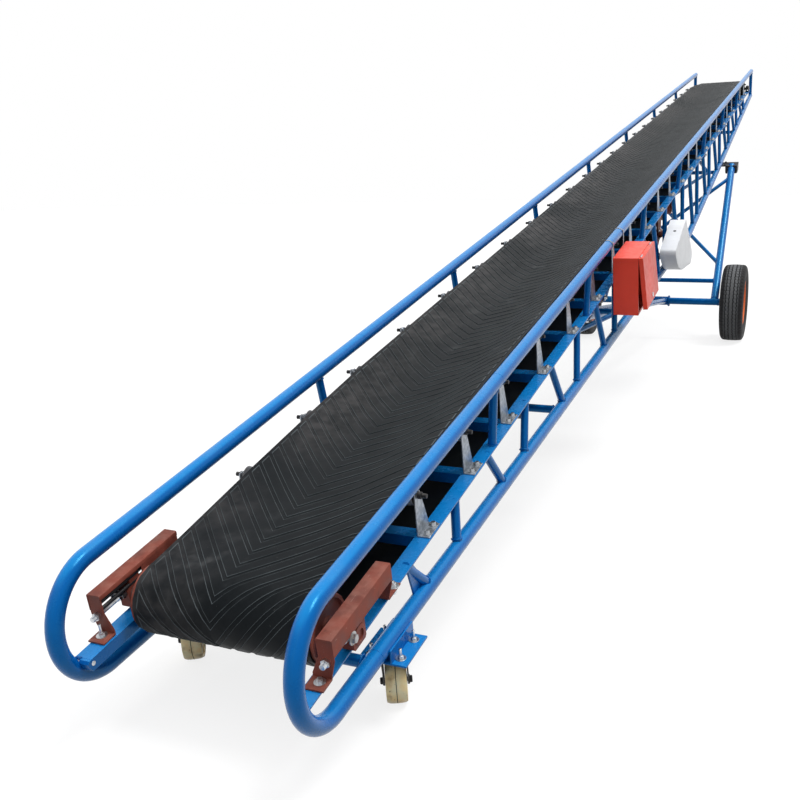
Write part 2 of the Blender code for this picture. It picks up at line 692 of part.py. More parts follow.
def guard():
    """Sheet cover of the belt drive, open toward the frame."""
    inner = -(FRAME_HALF + TUBE_R + GAP)
    outer = inner - GUARD_DEEP
    shell = plate(GUARD_FACE, outer, inner)
    middle = Vector(map(sum, zip(*GUARD_FACE))) / len(GUARD_FACE)
    inside = []
    for k, corner in enumerate(GUARD_FACE):
        before, after = Vector(GUARD_FACE[k - 1]), Vector(GUARD_FACE[(k + 1) % len(GUARD_FACE)])
        one, two = (Vector(corner) - before).normalized(), (after - Vector(corner)).normalized()
        out = Vector((-one.y - two.y, one.x + two.x)) / (1 + one.dot(two))
        turned_in = out if out.dot(middle - Vector(corner)) > 0 else -out
        inside.append(Vector(corner) + turned_in * GUARD_T)
    joined("belt_guard", "grey_sheet", [shell], [plate(inside, outer + GUARD_T, inner + 0.02)])


def control_box():
    """Switch box hung from the hand rail by two straps, with a door that stands ajar."""
    inner = -(FRAME_HALF + TUBE_R + GAP)
    strap_t = 0.003
    back = inner - strap_t + 0.0005
    front = back - BOX_DEEP
    end = BOX_S + BOX_LONG
    shell = box((BOX_S, end), (front, back), (BOX_BOTTOM, BOX_TOP))
    room = box((BOX_S + BOX_T, end - BOX_T), (front - 0.02, back - BOX_T),
               (BOX_BOTTOM + BOX_T, BOX_TOP - BOX_T))
    pieces = [shell]
    for s in (BOX_S + 0.012, end - 0.070):
        rise = (BOX_TOP - 0.10, LOOP_N + LOOP_R + 0.018)
        pieces.append(box((s, s + STRAP_W), (inner - strap_t, inner), rise))
    joined("control_box", "orange_paint", pieces, [room])
    high, low = BOX_TOP - 0.002, BOX_BOTTOM + DOOR_SHORT
    swing = Matrix.Rotation(-DOOR_AJAR, 4, "X")
    hinge = axes(ALONG, ACROSS, SQUARE, at(BOX_S, front - 0.0006, high)) @ swing
    leaf = box((0.001, BOX_LONG - 0.001), (-DOOR_T, 0), (low - high, 0), hinge)
    room = box((0.001 + BOX_T, BOX_LONG - 0.001 - BOX_T), (BOX_T - DOOR_T, 0.02),
               (low - high + BOX_T, -BOX_T), hinge)
    joined("control_box_door", "orange_paint", [leaf], [room], hinge)


def chord_axes(s, y, tilt):
    """Frame on the lower chord's axis: along it, across, and square to it."""
    a = INCLINE + tilt
    return axes(Vector((cos(a), 0, sin(a))), ACROSS, Vector((-sin(a), 0, cos(a))), at(s, y, chord_n(s)))


def undercarriage():
    """Axle beam, leaning legs with their brace and cross tube, and the drawbars to the truss."""
    axle = Vector((START_X + AXLE_RUN, 0, WHEEL_R))
    pieces = [bar(axle - ACROSS * AXLE_HALF, axle + ACROSS * AXLE_HALF, AXLE_R, 12)]
    pieces.append(bar(axle - ACROSS * (TRACK_HALF + 0.055), axle + ACROSS * (TRACK_HALF + 0.055), STUB_R, 12))
    pieces.append(bar(axle - ACROSS * 0.10, axle + ACROSS * 0.10, AXLE_R + 0.008, 12))
    for sign in (-1, 1):
        pieces.append(bar(axle + ACROSS * sign * 0.094, axle + ACROSS * sign * 0.106, AXLE_R + 0.018, 12))
    legs = {}
    for sign in (-1, 1):
        turn = chord_axes(LEG_TOP_S, sign * LEG_TOP_Y, CHORD_TILT)
        top = turn @ Vector((0, 0, -TUBE_R - 0.006 - 3 * GAP))
        foot = axle + ACROSS * sign * LEG_FOOT_Y
        bm = bmesh.new()
        bmesh.ops.create_cone(bm, cap_ends=True, segments=12, radius1=LEG_R, radius2=LEG_R, depth=1.0)
        shear = axes(turn.col[0].to_3d(), ACROSS, top - foot, (top + foot) / 2)
        thin = (top - foot).normalized().dot(turn.col[2].to_3d())
        bmesh.ops.transform(bm, matrix=shear @ Matrix.Diagonal((1 / thin, 1, 1, 1)), verts=bm.verts)
        pieces.append(mesh_of(bm))
        legs[sign] = (foot, top)
    low, high, tube = ({w: legs[w][0].lerp(legs[w][1], f) for w in (-1, 1)} for f in (0.25, 0.895, 0.138))
    pieces.append(bar(low[-1], high[1], 0.017, 8))
    pieces.append(bar(low[1], high[-1], 0.0165, 8))
    pieces.append(bar(tube[-1], tube[1], 0.019, 8))
    s = TAIL_BRACE_S[1]
    under = chord_n(s) - CROSS_R - GAP
    for sign in (-1, 1):
        y = sign * DRAWBAR_Y
        pieces.append(bar(axle + ACROSS * y, at(s, y, under - 0.020), DRAWBAR_R, 8))
        pieces.append(box((s - 0.045, s + 0.045), (y - 0.030, y + 0.030), (under - 0.032, under)))
    joined("undercarriage", "blue_paint", pieces)


def leg_cap(side):
    """Downward channel on top of a leg, with the seat plate that the chord rests on."""
    sign = SIDES[side]
    turn = chord_axes(LEG_TOP_S, 0, CHORD_TILT)
    half, y = CAP_LONG / 2, sign * LEG_TOP_Y
    roof = (-TUBE_R - 0.006 - GAP, -TUBE_R - GAP)
    inboard = sign * (FRAME_HALF - 0.02)
    pieces = [box((-half, half), sorted((y + sign * CAP_W / 2, inboard)), roof, turn)]
    for way in (-1, 1):
        wall = sorted((y + way * CAP_W / 2, y + way * (CAP_W / 2 - 0.006)))
        pieces.append(box((-half, half), wall, (roof[1] - CAP_H, roof[1] - 0.001), turn))
    joined(f"leg_cap_{side}", "black_steel", pieces)


def road_wheel(side):
    """Rim on the stub axle, and the tyre on the rim."""
    sign = SIDES[side]
    centre = Vector((START_X + AXLE_RUN, sign * TRACK_HALF, WHEEL_R))
    place = axes(Vector((0, 0, 1)), Vector((sign, 0, 0)), Vector((0, sign, 0)), centre)
    r, w = WHEEL_R * 0.60, WHEEL_W / 2
    bore = STUB_R + 0.0006
    rim = (
        (bore, -0.052), (0.040, -0.052), (0.040, 0.004), (0.120, 0.030), (r - 0.008, 0.014),
        (r - 0.008, -w * 0.68), (r + 0.008, -w * 0.82), (r + 0.008, -w * 0.77), (r - 0.0005, -w * 0.73),
        (r - 0.0005, w * 0.73), (r + 0.008, w * 0.77), (r + 0.008, w * 0.82), (r - 0.008, w * 0.68),
        (r - 0.008, 0.024),
        (0.120, 0.038), (0.040, 0.012), (0.040, 0.052), (bore, 0.052),
    )
    finish(turned(f"rim_{side}", rim, WHEEL_STEPS, place), "orange_paint")
    tyre = (
        (r, -w * 0.68), (r + 0.030, -w * 0.90), (r + 0.065, -w), (WHEEL_R - 0.030, -w * 0.97),
        (WHEEL_R - 0.008, -w * 0.80), (WHEEL_R, -w * 0.58), (WHEEL_R, w * 0.58),
        (WHEEL_R - 0.008, w * 0.80), (WHEEL_R - 0.030, w * 0.97), (r + 0.065, w),
        (r + 0.030, w * 0.90), (r, w * 0.68),
    )
    finish(turned(f"tyre_{side}", tyre, WHEEL_STEPS, place), "rubber")


def caster(side):
    """Angle mount on the chord, swivelling fork and nylon wheel."""
    sign = SIDES[side]
    turn = chord_axes(CASTER_S, sign * FRAME_HALF, -LOW_TILT)
    out = TUBE_R + GAP
    long = (-0.074, 0.074)
    pieces = [box(long, (-0.070, 0.070), (-0.040, -0.034), turn)]
    for way in (-1, 1):
        pieces.append(box(long, sorted((way * out, way * (out + 0.005))), (-0.037, 0.004), turn))
    pieces.append(box((-0.055, 0.055), (-0.052, 0.052), (-0.046, -0.039), turn))
    a, b = turn @ Vector((0, 0, -0.056)), turn @ Vector((0, 0, -0.044))
    pieces.append(bar(a, b, 0.030, 12))
    joined(f"caster_mount_{side}", "blue_paint", pieces)

    swivel = turn @ Matrix.Translation((0, 0, -0.057)) @ Matrix.Rotation(CASTER_TURN[side], 4, "Z")
    r, w, bore = CASTER_R, CASTER_W / 2, 0.0076
    tread = ((bore, -w), (r * 0.35, -w), (r * 0.42, -w * 0.8), (r * 0.86, -w * 0.8), (r * 0.94, -w),
             (r, -w * 0.6), (r, w * 0.6), (r * 0.94, w), (r * 0.86, w * 0.8), (r * 0.42, w * 0.8),
             (r * 0.35, w), (bore, w))
    pin_z = swivel.col[1].z
    sink = max(radius * sqrt(1 - pin_z**2) - height * pin_z for radius, height in tread)
    start = swivel @ Vector((CASTER_TRAIL, 0, 0))
    hub = (sink - start.z) / swivel.col[2].z
    cheek = CASTER_W / 2 + 0.004
    pieces = [bar(swivel @ Vector((0, 0, -0.007)), swivel @ Vector((0, 0, 0)), 0.034, 12)]
    pieces.append(box((-0.028, 0.042), (-cheek - 0.004, cheek + 0.004), (-0.009, -0.004), swivel))
    outline = ((-0.028, -0.004), (0.042, -0.004), (0.042, -0.020), (CASTER_TRAIL + 0.014, hub),
               (CASTER_TRAIL, hub - 0.013), (CASTER_TRAIL - 0.014, hub), (-0.028, -0.020))
    sheet = swivel @ axes(Vector((1, 0, 0)), Vector((0, 0, 1)), Vector((0, -1, 0)), Vector((0, 0, 0)))
    for way in (-1, 1):
        pieces.append(plate(outline, *sorted((way * cheek, way * (cheek + 0.004))), sheet))
    reach = cheek + 0.012
    pieces.append(bar(swivel @ Vector((CASTER_TRAIL, -reach, hub)),
                      swivel @ Vector((CASTER_TRAIL, reach, hub)), 0.007, 8))
    joined(f"caster_fork_{side}", "black_steel", pieces, origin=swivel)

    centre = swivel @ Vector((CASTER_TRAIL, 0, hub))
    pin = swivel.col[1].to_3d()
    up = (Vector((0, 0, 1)) - pin * pin.z).normalized()
    place = axes(up, pin.cross(up), pin, centre)
    finish(turned(f"caster_wheel_{side}", tread, 20, place), "cream_nylon")


for side in SIDES:
    hand_rail(side)
    rail_posts(side)
    lower_chord(side)
bed_sections()
belt()
drum("tail_drum", TAIL_DRUM_S, DRUM_N, DRUM_R - BELT_CLEAR, DRUM_HALF, FRAME_HALF - 0.002, "red_oxide")
drum("head_drum", HEAD_DRUM_S, DRUM_N, DRUM_R - BELT_CLEAR, DRUM_HALF, FRAME_HALF - 0.008, "black_steel")
drive_drum()
return_rollers()
bend_rollers()
snub_drum()
bracing()
motor()
guard()
control_box()
undercarriage()
for side in SIDES:
    take_up(side)
    head_bearing(side)
    leg_cap(side)
    road_wheel(side)
    caster(side)
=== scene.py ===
"""Looks of the belt conveyor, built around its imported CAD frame.

Metres, in the row frame: +X toward the discharge end, +Y to the left, +Z up. Pieces on the
slope are laid out with s up the slope, y across it and n square to it.
"""

from math import asin, atan2, cos, hypot, pi, radians, sin, sqrt, tan
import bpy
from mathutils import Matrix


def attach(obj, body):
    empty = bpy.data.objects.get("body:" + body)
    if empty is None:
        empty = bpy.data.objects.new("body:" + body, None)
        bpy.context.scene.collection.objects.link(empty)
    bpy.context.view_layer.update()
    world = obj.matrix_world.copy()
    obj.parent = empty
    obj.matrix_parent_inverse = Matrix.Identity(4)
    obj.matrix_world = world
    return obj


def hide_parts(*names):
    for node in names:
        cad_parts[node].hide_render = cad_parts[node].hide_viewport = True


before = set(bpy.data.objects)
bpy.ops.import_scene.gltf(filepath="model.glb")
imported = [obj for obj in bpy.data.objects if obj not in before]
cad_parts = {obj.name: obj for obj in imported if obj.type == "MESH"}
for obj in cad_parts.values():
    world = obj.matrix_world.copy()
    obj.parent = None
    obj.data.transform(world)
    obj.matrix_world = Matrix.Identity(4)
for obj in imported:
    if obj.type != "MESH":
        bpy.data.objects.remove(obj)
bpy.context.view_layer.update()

import bpy
from mathutils import Matrix, Vector

# Slope, bed and side tubes, as in the CAD
INCLINE = radians(10.66)
START = Vector((-5.69002, 0, 0.2715))
ALONG = Vector((cos(INCLINE), 0, sin(INCLINE)))
ACROSS = Vector((0, 1, 0))
SQUARE = Vector((-sin(INCLINE), 0, cos(INCLINE)))
HALF, HEAD_S = 0.335, 11.76
TUBE_R, LATTICE_R = 0.024, 0.015
BORE_R = TUBE_R - 0.003
LOOP_R, LOOP_N, JOINT_S = 0.160, 0.065, 0.215
RAIL_N = LOOP_N + LOOP_R
BELLY_S, BELLY_N, NOSE_N = 6.10, -0.465, -0.070
ANGLE, ANGLE_T = 0.050, 0.005
FLANGE_Y = HALF - 0.019
CHORD_TILT = atan2(NOSE_N - BELLY_N, HEAD_S - BELLY_S)
LOW_TILT = atan2(LOOP_N - LOOP_R - BELLY_N, BELLY_S)
SIDES = {"left": 1, "right": -1}

# Belt, drums and idlers
BELT_HALF, BELT_T = 0.260, 0.008
TROUGH_FLAT, TROUGH_ANGLE = 0.100, radians(18.0)
DRUM_R, DRUM_N, TAIL_DRUM_S, HEAD_DRUM_S = 0.088, 0.034, 0.125, 11.60
DRIVE_S, DRIVE_N, DRIVE_R, BEND_R, BEND_REACH = 5.02, -0.190, 0.090, 0.040, 0.200
SNUB_S, SNUB_R = 5.608, 0.062
ROLLER_R = 0.030
RETURN_S = (1.75, 3.25, 7.56, 9.32)
STATIONS = [(0.66, 0.50), (1.06, 0.80), *((1.46 + 0.488 * k, 1.0) for k in range(20)), (11.22, 0.5)]
POSTS = [1.26, *(1.46 + 0.488 * (2.5 + 3 * k) for k in range(6))]
RIB_PITCH, RIB_GAP, RIB_RAMP, RIB_SLANT, RIB_APEX = 0.0622, 0.0150, 0.0016, 1.10, 0.018


def at(s, y, n):
    """A point of the sloping bed in the row frame."""
    return START + ALONG * s + ACROSS * y + SQUARE * n


def axes(x, y, z, origin):
    """Matrix whose columns are the three given vectors and the origin."""
    return Matrix((x, y, z)).transposed().to_4x4() + Matrix.Translation(origin) - Matrix.Identity(4)


def bed(s, y, n):
    """Frame on the bed: x up the slope, y across, z square to it."""
    return axes(ALONG, ACROSS, SQUARE, at(s, y, n))


def side_view(y=0.0):
    """Frame for outlines of (s, n) corners, with z pointing to the right-hand side."""
    return axes(ALONG, SQUARE, -ACROSS, START + ACROSS * y)


def chord_n(s):
    """Height of the lower chord's axis on the bed."""
    if s < BELLY_S:
        return LOOP_N - LOOP_R - s * tan(LOW_TILT)
    return BELLY_N + (s - BELLY_S) * tan(CHORD_TILT)


def chord_axes(s, y, tilt):
    """Frame on the lower chord's axis: along it, across, and square to it."""
    a = INCLINE + tilt
    return axes(Vector((cos(a), 0, sin(a))), ACROSS, Vector((-sin(a), 0, cos(a))), at(s, y, chord_n(s)))


def aim(a, b):
    """Frame at a whose z points to b."""
    z = (b - a).normalized()
    x = (ACROSS if abs(z.dot(ACROSS)) < 0.9 else ALONG).cross(z).normalized()
    return axes(x, z.cross(x), z, a)


def outward(s, y, n, sign):
    """Frame with z across the bed, to the left for sign 1 and to the right for -1."""
    return aim(at(s, y, n), at(s, y + sign, n))


def below(s, y, n=-ANGLE_T):
    """Frame on the underside of the bed angles, or at n, with z pointing down."""
    return axes(ALONG, -ACROSS, -SQUARE, at(s, y, n))


def shift(x=0.0, y=0.0, z=0.0):
    """Move in a frame's own directions."""
    return Matrix.Translation((x, y, z))


def spin(angle, axis="Z"):
    """Turn about one of a frame's own axes."""
    return Matrix.Rotation(angle, 4, axis)


def arc(radius, start, stop, steps, centre=(0, 0)):
    """Points of an arc in a plane, from one angle to another."""
    turns = [start + (stop - start) * k / steps for k in range(steps + 1)]
    return [(centre[0] + radius * cos(a), centre[1] + radius * sin(a)) for a in turns]


def pair(sign, a, b):
    """Range from a to b on the side that sign gives, lower end first."""
    return sorted((sign * a, sign * b))


class Shape:
    """Faces of one piece while it is built, each with its material's number."""

    def __init__(self, name):
        self.name, self.points, self.faces, self.kinds = name, [], [], []

    def add(self, points, faces, kind=0):
        base = len(self.points)
        self.points += points
        self.faces += [[base + k for k in face] for face in faces]
        self.kinds += [kind] * len(faces)

    def grid(self, rows, kind=0, loop=False, ring=True, caps=False):
        """Faces between rows of points. loop joins the last row to the first, ring closes each row."""
        count, wide = len(rows), len(rows[0])
        faces = []
        for i in range(count if loop else count - 1):
            for j in range(wide if ring else wide - 1):
                a, b = i * wide + j, i * wide + (j + 1) % wide
                c, d = (i + 1) % count * wide + (j + 1) % wide, (i + 1) % count * wide + j
                faces.append((a, b, c, d))
        if caps:
            faces += [tuple(range(wide))[::-1], tuple((count - 1) * wide + j for j in range(wide))]
        self.add([p for row in rows for p in row], faces, kind)

    def tube(self, path, radius, sides=20, kind=0, bore=0.0):
        """Round tube along a path of points. bore gives a hollow last end of that radius."""
        rows, side = [], None
        for k, point in enumerate(path):
            before, after = path[max(k - 1, 0)], path[min(k + 1, len(path) - 1)]
            run = (after - before).normalized()
            if side is None:
                side = (ACROSS if abs(run.dot(ACROSS)) < 0.9 else ALONG).cross(run).normalized()
            side = (side - run * side.dot(run)).normalized()
            other = run.cross(side)
            one = (point - before).normalized() if k else run
            two = (after - point).normalized() if k < len(path) - 1 else run
            wide = radius / max(0.5, sqrt((1 + one.dot(two)) / 2))
            ring = [pi * 2 * j / sides for j in range(sides)]
            rows.append([point + (side * cos(a) + other * sin(a)) * wide for a in ring])
        if bore:
            run = (path[-1] - path[-2]).normalized()
            mouth = [path[-1] + (p - path[-1]) * (bore / radius) for p in rows[-1]]
            rows += [mouth, [p - run * 0.08 for p in mouth]]
        self.grid(rows, kind, caps=True)

    def rod(self, a, b, radius, sides=20, kind=0):
        self.tube([a, b], radius, sides, kind)

    def lathe(self, place, profile, steps=32, kind=0):
        """Shape turned about z of a frame: a profile of (radius, height), closed unless it starts at z."""
        rows = []
        for k in range(steps):
            a = 2 * pi * k / steps
            rows.append([place @ Vector((r * cos(a), r * sin(a), z)) for r, z in profile])
        self.grid(rows, kind, loop=True, ring=profile[0][0] > 0)

    def disc(self, place, inner, outer, low, high, steps=32, kind=0):
        """Washer, or a round plate where inner is 0."""
        self.lathe(place, ((inner, low), (outer, low), (outer, high), (inner, high)), steps, kind)

    def prism(self, place, outline, low, high, kind=0):
        """Outline of (x, y) corners in a frame, from z low to z high."""
        if sum(a[0] * b[1] - b[0] * a[1] for a, b in zip(outline, [*outline[1:], outline[0]])) < 0:
            outline = outline[::-1]
        rows = [[place @ Vector((x, y, z)) for x, y in outline] for z in (low, high)]
        self.grid(rows, kind, caps=True)

    def plate(self, outline, sign, a, b, kind=0):
        """Outline of (s, n) corners, from a to b out from the middle on the side that sign gives."""
        self.prism(side_view(), outline, *pair(-sign, a, b), kind)

    def box(self, place, x, y, z, kind=0):
        self.prism(place, ((x[0], y[0]), (x[1], y[0]), (x[1], y[1]), (x[0], y[1])), *z, kind)

    def hexagon(self, place, across, low, high, kind=0):
        """Hexagon head or nut, across its flats, with its corners turned down."""
        r = across / sqrt(3)
        for a, b, size in ((low, high - across * 0.08, r), (high - across * 0.08, high, r * 0.9)):
            outline = [(size * cos(pi / 3 * k), size * sin(pi / 3 * k)) for k in range(6)]
            self.prism(place, outline, a, b, kind)

    def bolt(self, place, across, kind=0, stud=0.0):
        """Washer and hexagon head on a face, z outward, with an optional stud through it."""
        washer, head, r = across * 0.12, across * 0.72, across * 0.30
        self.disc(place, 0, across * 1.05, 0, washer, 20, kind)
        self.hexagon(place, across, washer, head, kind)
        top = head + stud
        self.lathe(place, ((0, 0), (r, 0), (r, top - 0.001), (r * 0.8, top), (0, top)), 12, kind)

    def bead(self, place, radius, thick=0.0032, kind=1, stretch=1.0, sides=24):
        """Rippled weld bead round the z axis of a frame; stretch makes it an ellipse along x."""
        rows = []
        for k in range(sides):
            a = 2 * pi * k / sides
            fat = thick * (1 + 0.22 * sin(a * 11) + 0.12 * sin(a * 5 + 1))
            row = []
            for b in (2 * pi * j / 6 for j in range(6)):
                r = radius + fat * cos(b)
                row.append(place @ Vector((r * cos(a) * stretch, r * sin(a), fat * sin(b))))
            rows.append(row)
        self.grid(rows, kind, loop=True)

    def seam(self, a, b, thick=0.003):
        """Straight rippled weld bead from a to b."""
        count = max(6, int((b - a).length / 0.008))
        lift = (b - a).normalized().orthogonal() * thick * 0.25
        self.tube([a.lerp(b, k / count) + lift * sin(k * 2.1) for k in range(count + 1)], thick, 6, 1)

    def make(self, body, materials, replaces=(), slot=None, bevel=0.0, smooth=35.0):
        """Turns the faces into a piece that rides on a body."""
        mesh = bpy.data.meshes.new(self.name)
        mesh.from_pydata([tuple(p) for p in self.points], [], self.faces)
        mesh.polygons.foreach_set("material_index", self.kinds)
        mesh.validate()
        mesh.polygons.foreach_set("use_smooth", [True] * len(mesh.polygons))
        mesh.set_sharp_from_angle(angle=radians(smooth))
        mesh.update()
        piece = bpy.data.objects.new(self.name, mesh)
        bpy.context.scene.collection.objects.link(piece)
        for material in materials:
            mesh.materials.append(material)
        if bevel:
            edge = piece.modifiers.new("edges", "BEVEL")
            edge.width, edge.segments, edge.limit_method = bevel, 2, "ANGLE"
            edge.angle_limit = radians(40)
            edge.harden_normals = False
        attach(piece, body)
        if replaces:
            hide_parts(*replaces)
        return piece


def mark_edge_paint_and_painted_light(piece, values):
    """Stores, for each point, how much pale edge colour it gets; on the belt's groove floors and the tyre's
    groove lips this colour is painted light.
    """
    piece.data.attributes.new("edge", "FLOAT", "POINT").data.foreach_set("value", values)


class Tree:
    """Short names for the nodes of a material or of the world."""

    def __init__(self, owner):
        owner.use_nodes = True
        self.owner, self.tree = owner, owner.node_tree

    def node(self, kind, inputs=None):
        node = self.tree.nodes.new("ShaderNode" + kind)
        for socket, value in (inputs or {}).items():
            self.put(node, socket, value)
        return node

    def put(self, node, socket, value):
        if isinstance(value, bpy.types.NodeSocket):
            self.tree.links.new(value, node.inputs[socket])
        else:
            node.inputs[socket].default_value = value

    def ramp(self, value, low, high, to_low=0.0, to_high=1.0, smooth=True):
        node = self.node("MapRange", {"Value": value, "From Min": low, "From Max": high,
                                      "To Min": to_low, "To Max": to_high})
        if smooth:
            node.interpolation_type = "SMOOTHSTEP"
        return node.outputs["Result"]

    def math(self, operation, a, b=0.0):
        node = self.node("Math", {0: a, 1: b})
        node.operation = operation
        return node.outputs[0]

    def times(self, a, b):
        return self.math("MULTIPLY", a, b)

    def split(self, value):
        """X, Y and Z of a vector."""
        return self.node("SeparateXYZ", {0: value}).outputs

    def seen_directly(self):
        """1 for camera, glossy and transmission rays, 0 for the light that falls on the object."""
        rays = self.node("LightPath").outputs
        total = rays["Is Camera Ray"]
        for name in ("Is Glossy Ray", "Is Transmission Ray"):
            total = self.math("ADD", total, rays[name])
            total.node.use_clamp = True
        return total


class Nodes(Tree):
    """One material and the textures in its object's space."""

    def __init__(self, name, metal=0.0, shine=0.25, sheen=(1, 1, 1)):
        super().__init__(bpy.data.materials.new(name))
        self.out = self.tree.nodes["Principled BSDF"]
        self.put(self.out, "Metallic", metal)
        self.put(self.out, "Specular IOR Level", shine)
        if not metal:
            self.put(self.out, "Specular Tint", (*sheen, 1))
        self.place = self.node("TexCoord").outputs["Object"]

    def noise(self, scale, detail=3.0, stretch=(1, 1, 1), lift=0.0):
        spot = self.node("Mapping", {"Vector": self.place, "Scale": stretch, "Location": (lift,) * 3})
        cloud = self.node("TexNoise", {"Vector": spot.outputs[0], "Scale": scale, "Detail": detail})
        return cloud.outputs["Fac"]

    def patches(self, scale, detail, lift, low, high, to_low=0.0, to_high=1.0, stretch=(1, 1, 1)):
        """Noise cut to soft patches between two of its levels."""
        return self.ramp(self.noise(scale, detail, stretch, lift), low, high, to_low, to_high)

    def mix(self, share, a, b):
        node = self.node("Mix")
        node.data_type = "RGBA"
        self.put(node, 0, share)
        for socket, value in ((6, a), (7, b)):
            self.put(node, socket, (*value, 1) if isinstance(value, tuple) else value)
        return node.outputs[2]

    def upward(self):
        """How far the surface faces up, from 0 to 1."""
        return self.ramp(self.split(self.node("NewGeometry").outputs["Normal"])["Z"], 0.35, 0.95)

    def edge(self):
        """The pale edge values stored on the points, part of which are painted light."""
        node = self.node("Attribute")
        node.attribute_name = "edge"
        return node.outputs["Fac"]

    def finish(self, colour, rough, height, distance=0.0005, strength=0.5):
        bump = self.node("Bump", {"Distance": distance, "Strength": strength, "Height": height})
        for socket, value in (("Base Color", colour), ("Roughness", rough), ("Normal", bump.outputs[0])):
            self.put(self.out, socket, value)
        return self.owner


def tint(colour, share):
    return tuple(c * share for c in colour)


def paint(name, colour, rough=0.35, dust=0.25, chips=0.5, under=(0.10, 0.07, 0.055), bright=0.1,
          shine=0.25, sheen=(1, 1, 1), painted_top_light=None):
    """Brushed or sprayed paint with dull patches, dust on top and small chips to what is under it; where
    asked, upward faces also get a paler colour as painted light from above.
    """
    n = Nodes(name, shine=shine, sheen=sheen)
    fine = n.noise(38.0, 4.0)
    shade = n.mix(n.patches(2.2, 5.0, 0, 0.3, 0.7), tint(colour, 1 - bright), tint(colour, 1 + bright))
    shade = n.mix(n.ramp(fine, 0.52, 0.78, 0.0, 0.14), shade, tint(colour, 0.72))
    # Painted light: upward faces blend toward a paler colour that stands in for light from above, so the
    # underside keeps the darker base.
    if painted_top_light:
        shade = n.mix(n.ramp(n.upward(), 0.25, 1.0, 0.0, 0.60), shade, painted_top_light)
    film = n.times(n.upward(), n.patches(7.0, 6.0, 3.1, 0.42, 0.75, 0.0, dust))
    shade = n.mix(film, shade, (0.42, 0.40, 0.36))
    spots = n.times(n.patches(95.0, 2.0, 1.7, 0.70, 0.74), n.patches(4.0, 3.0, 5.0, 0.54, 0.66))
    shade = n.mix(n.times(spots, chips), shade, under)
    scratch = n.patches(26.0, 3.0, 2.3, 0.70, 0.73, 0.0, chips * 0.4, (0.35, 6.0, 6.0))
    shade = n.mix(scratch, shade, tint(colour, 1.35))
    gloss = n.ramp(n.math("ADD", fine, film), 0.3, 0.9, rough - 0.05, rough + 0.12)
    return n.finish(shade, gloss, n.noise(260.0, 2.0), 0.0003, 0.35)


def belt_rubber():
    """Black belt cover: pale lines on the blocks' edges, a painted lightening of the groove floors against
    their shade, grey scuffs, and dust along one side.
    """
    n = Nodes("belt_rubber", shine=0.08)
    patch = n.patches(2.6, 6.0, 0, 0.45, 0.80)
    smear = n.patches(16.0, 6.0, 4.0, 0.50, 0.80)
    shade = n.mix(n.noise(70.0, 5.0), (0.0030, 0.0044, 0.0056), (0.0075, 0.0098, 0.0118))
    shade = n.mix(n.times(patch, n.times(smear, 0.75)), shade, (0.075, 0.078, 0.080))
    y = n.split(n.node("NewGeometry").outputs["Position"])["Y"]
    drift = n.times(n.ramp(y, 0.0, 0.24), n.patches(1.4, 5.0, 2.6, 0.40, 0.62))
    drift = n.times(drift, n.patches(24.0, 5.0, 3.0, 0.30, 0.70, 0.15, 0.60))
    shade = n.mix(drift, shade, (0.085, 0.080, 0.080))
    # Pale lines on the blocks' edges; the groove floors get a weaker share of the same colour, which is
    # painted light against the grooves' shade.
    edge_lines_and_floor_light = n.times(n.ramp(n.edge(), 0.35, 0.85), n.patches(9.0, 4.0, 8.0, 0.30, 0.62, 0.40, 1.0))
    shade = n.mix(edge_lines_and_floor_light, shade, (0.080, 0.094, 0.100))
    shade = n.mix(n.patches(150.0, 1.0, 6.0, 0.76, 0.80, 0.0, 0.4), shade, (0.09, 0.09, 0.088))
    return n.finish(shade, n.ramp(patch, 0.0, 1.0, 0.46, 0.50), n.noise(420.0, 2.0), 0.0003, 0.3)


def rubber(name, colour, dust=0.25, rough=0.7):
    """Tyre rubber, browner and paler where the road has dusted it, with a painted reflection on the groove
    lips that the piece marks.
    """
    n = Nodes(name)
    shade = n.mix(n.noise(30.0, 5.0), tint(colour, 0.75), tint(colour, 1.35))
    worn = n.patches(9.0, 5.0, 2.0, 0.45, 0.75, 0.0, dust)
    shade = n.mix(worn, shade, (0.10, 0.092, 0.08))
    # Painted reflection: the marked groove lips are lightened to stand in for the light they catch.
    shade = n.mix(n.times(n.edge(), 0.8), shade, (0.15, 0.155, 0.16))
    gloss = n.ramp(worn, 0.0, dust, rough - 0.08, rough + 0.15)
    return n.finish(shade, gloss, n.noise(500.0, 2.0), 0.0004, 0.5)


def galvanised():
    """Zinc-dipped plate with soft spangles and dull white bloom."""
    n = Nodes("galvanised", metal=0.75)
    cells = n.node("TexVoronoi", {"Vector": n.place, "Scale": 95.0}).outputs["Color"]
    spangle = n.ramp(n.node("SeparateColor", {0: cells}).outputs[0], 0.0, 1.0)
    shade = n.mix(spangle, (0.24, 0.27, 0.30), (0.42, 0.45, 0.49))
    bloom = n.patches(45.0, 6.0, 0, 0.5, 0.75, 0.0, 0.5)
    shade = n.mix(bloom, shade, (0.50, 0.53, 0.56))
    return n.finish(shade, n.ramp(bloom, 0.0, 0.6, 0.34, 0.6), n.noise(160.0, 3.0), 0.0003, 0.4)


def bare_metal(name, colour, rough=0.3, tarnish=0.4, metal=1.0, dark=(0.16, 0.13, 0.10)):
    """Plated or bare metal with turning marks and some tarnish."""
    n = Nodes(name, metal=metal)
    patch = n.patches(55.0, 6.0, 0, 0.48, 0.78, 0.0, tarnish)
    shade = n.mix(n.noise(240.0, 2.0), tint(colour, 0.85), tint(colour, 1.1))
    shade = n.mix(patch, shade, dark)
    return n.finish(shade, n.ramp(patch, 0.0, tarnish, rough, rough + 0.3), n.noise(700.0, 2.0), 0.0002,
                    0.4)


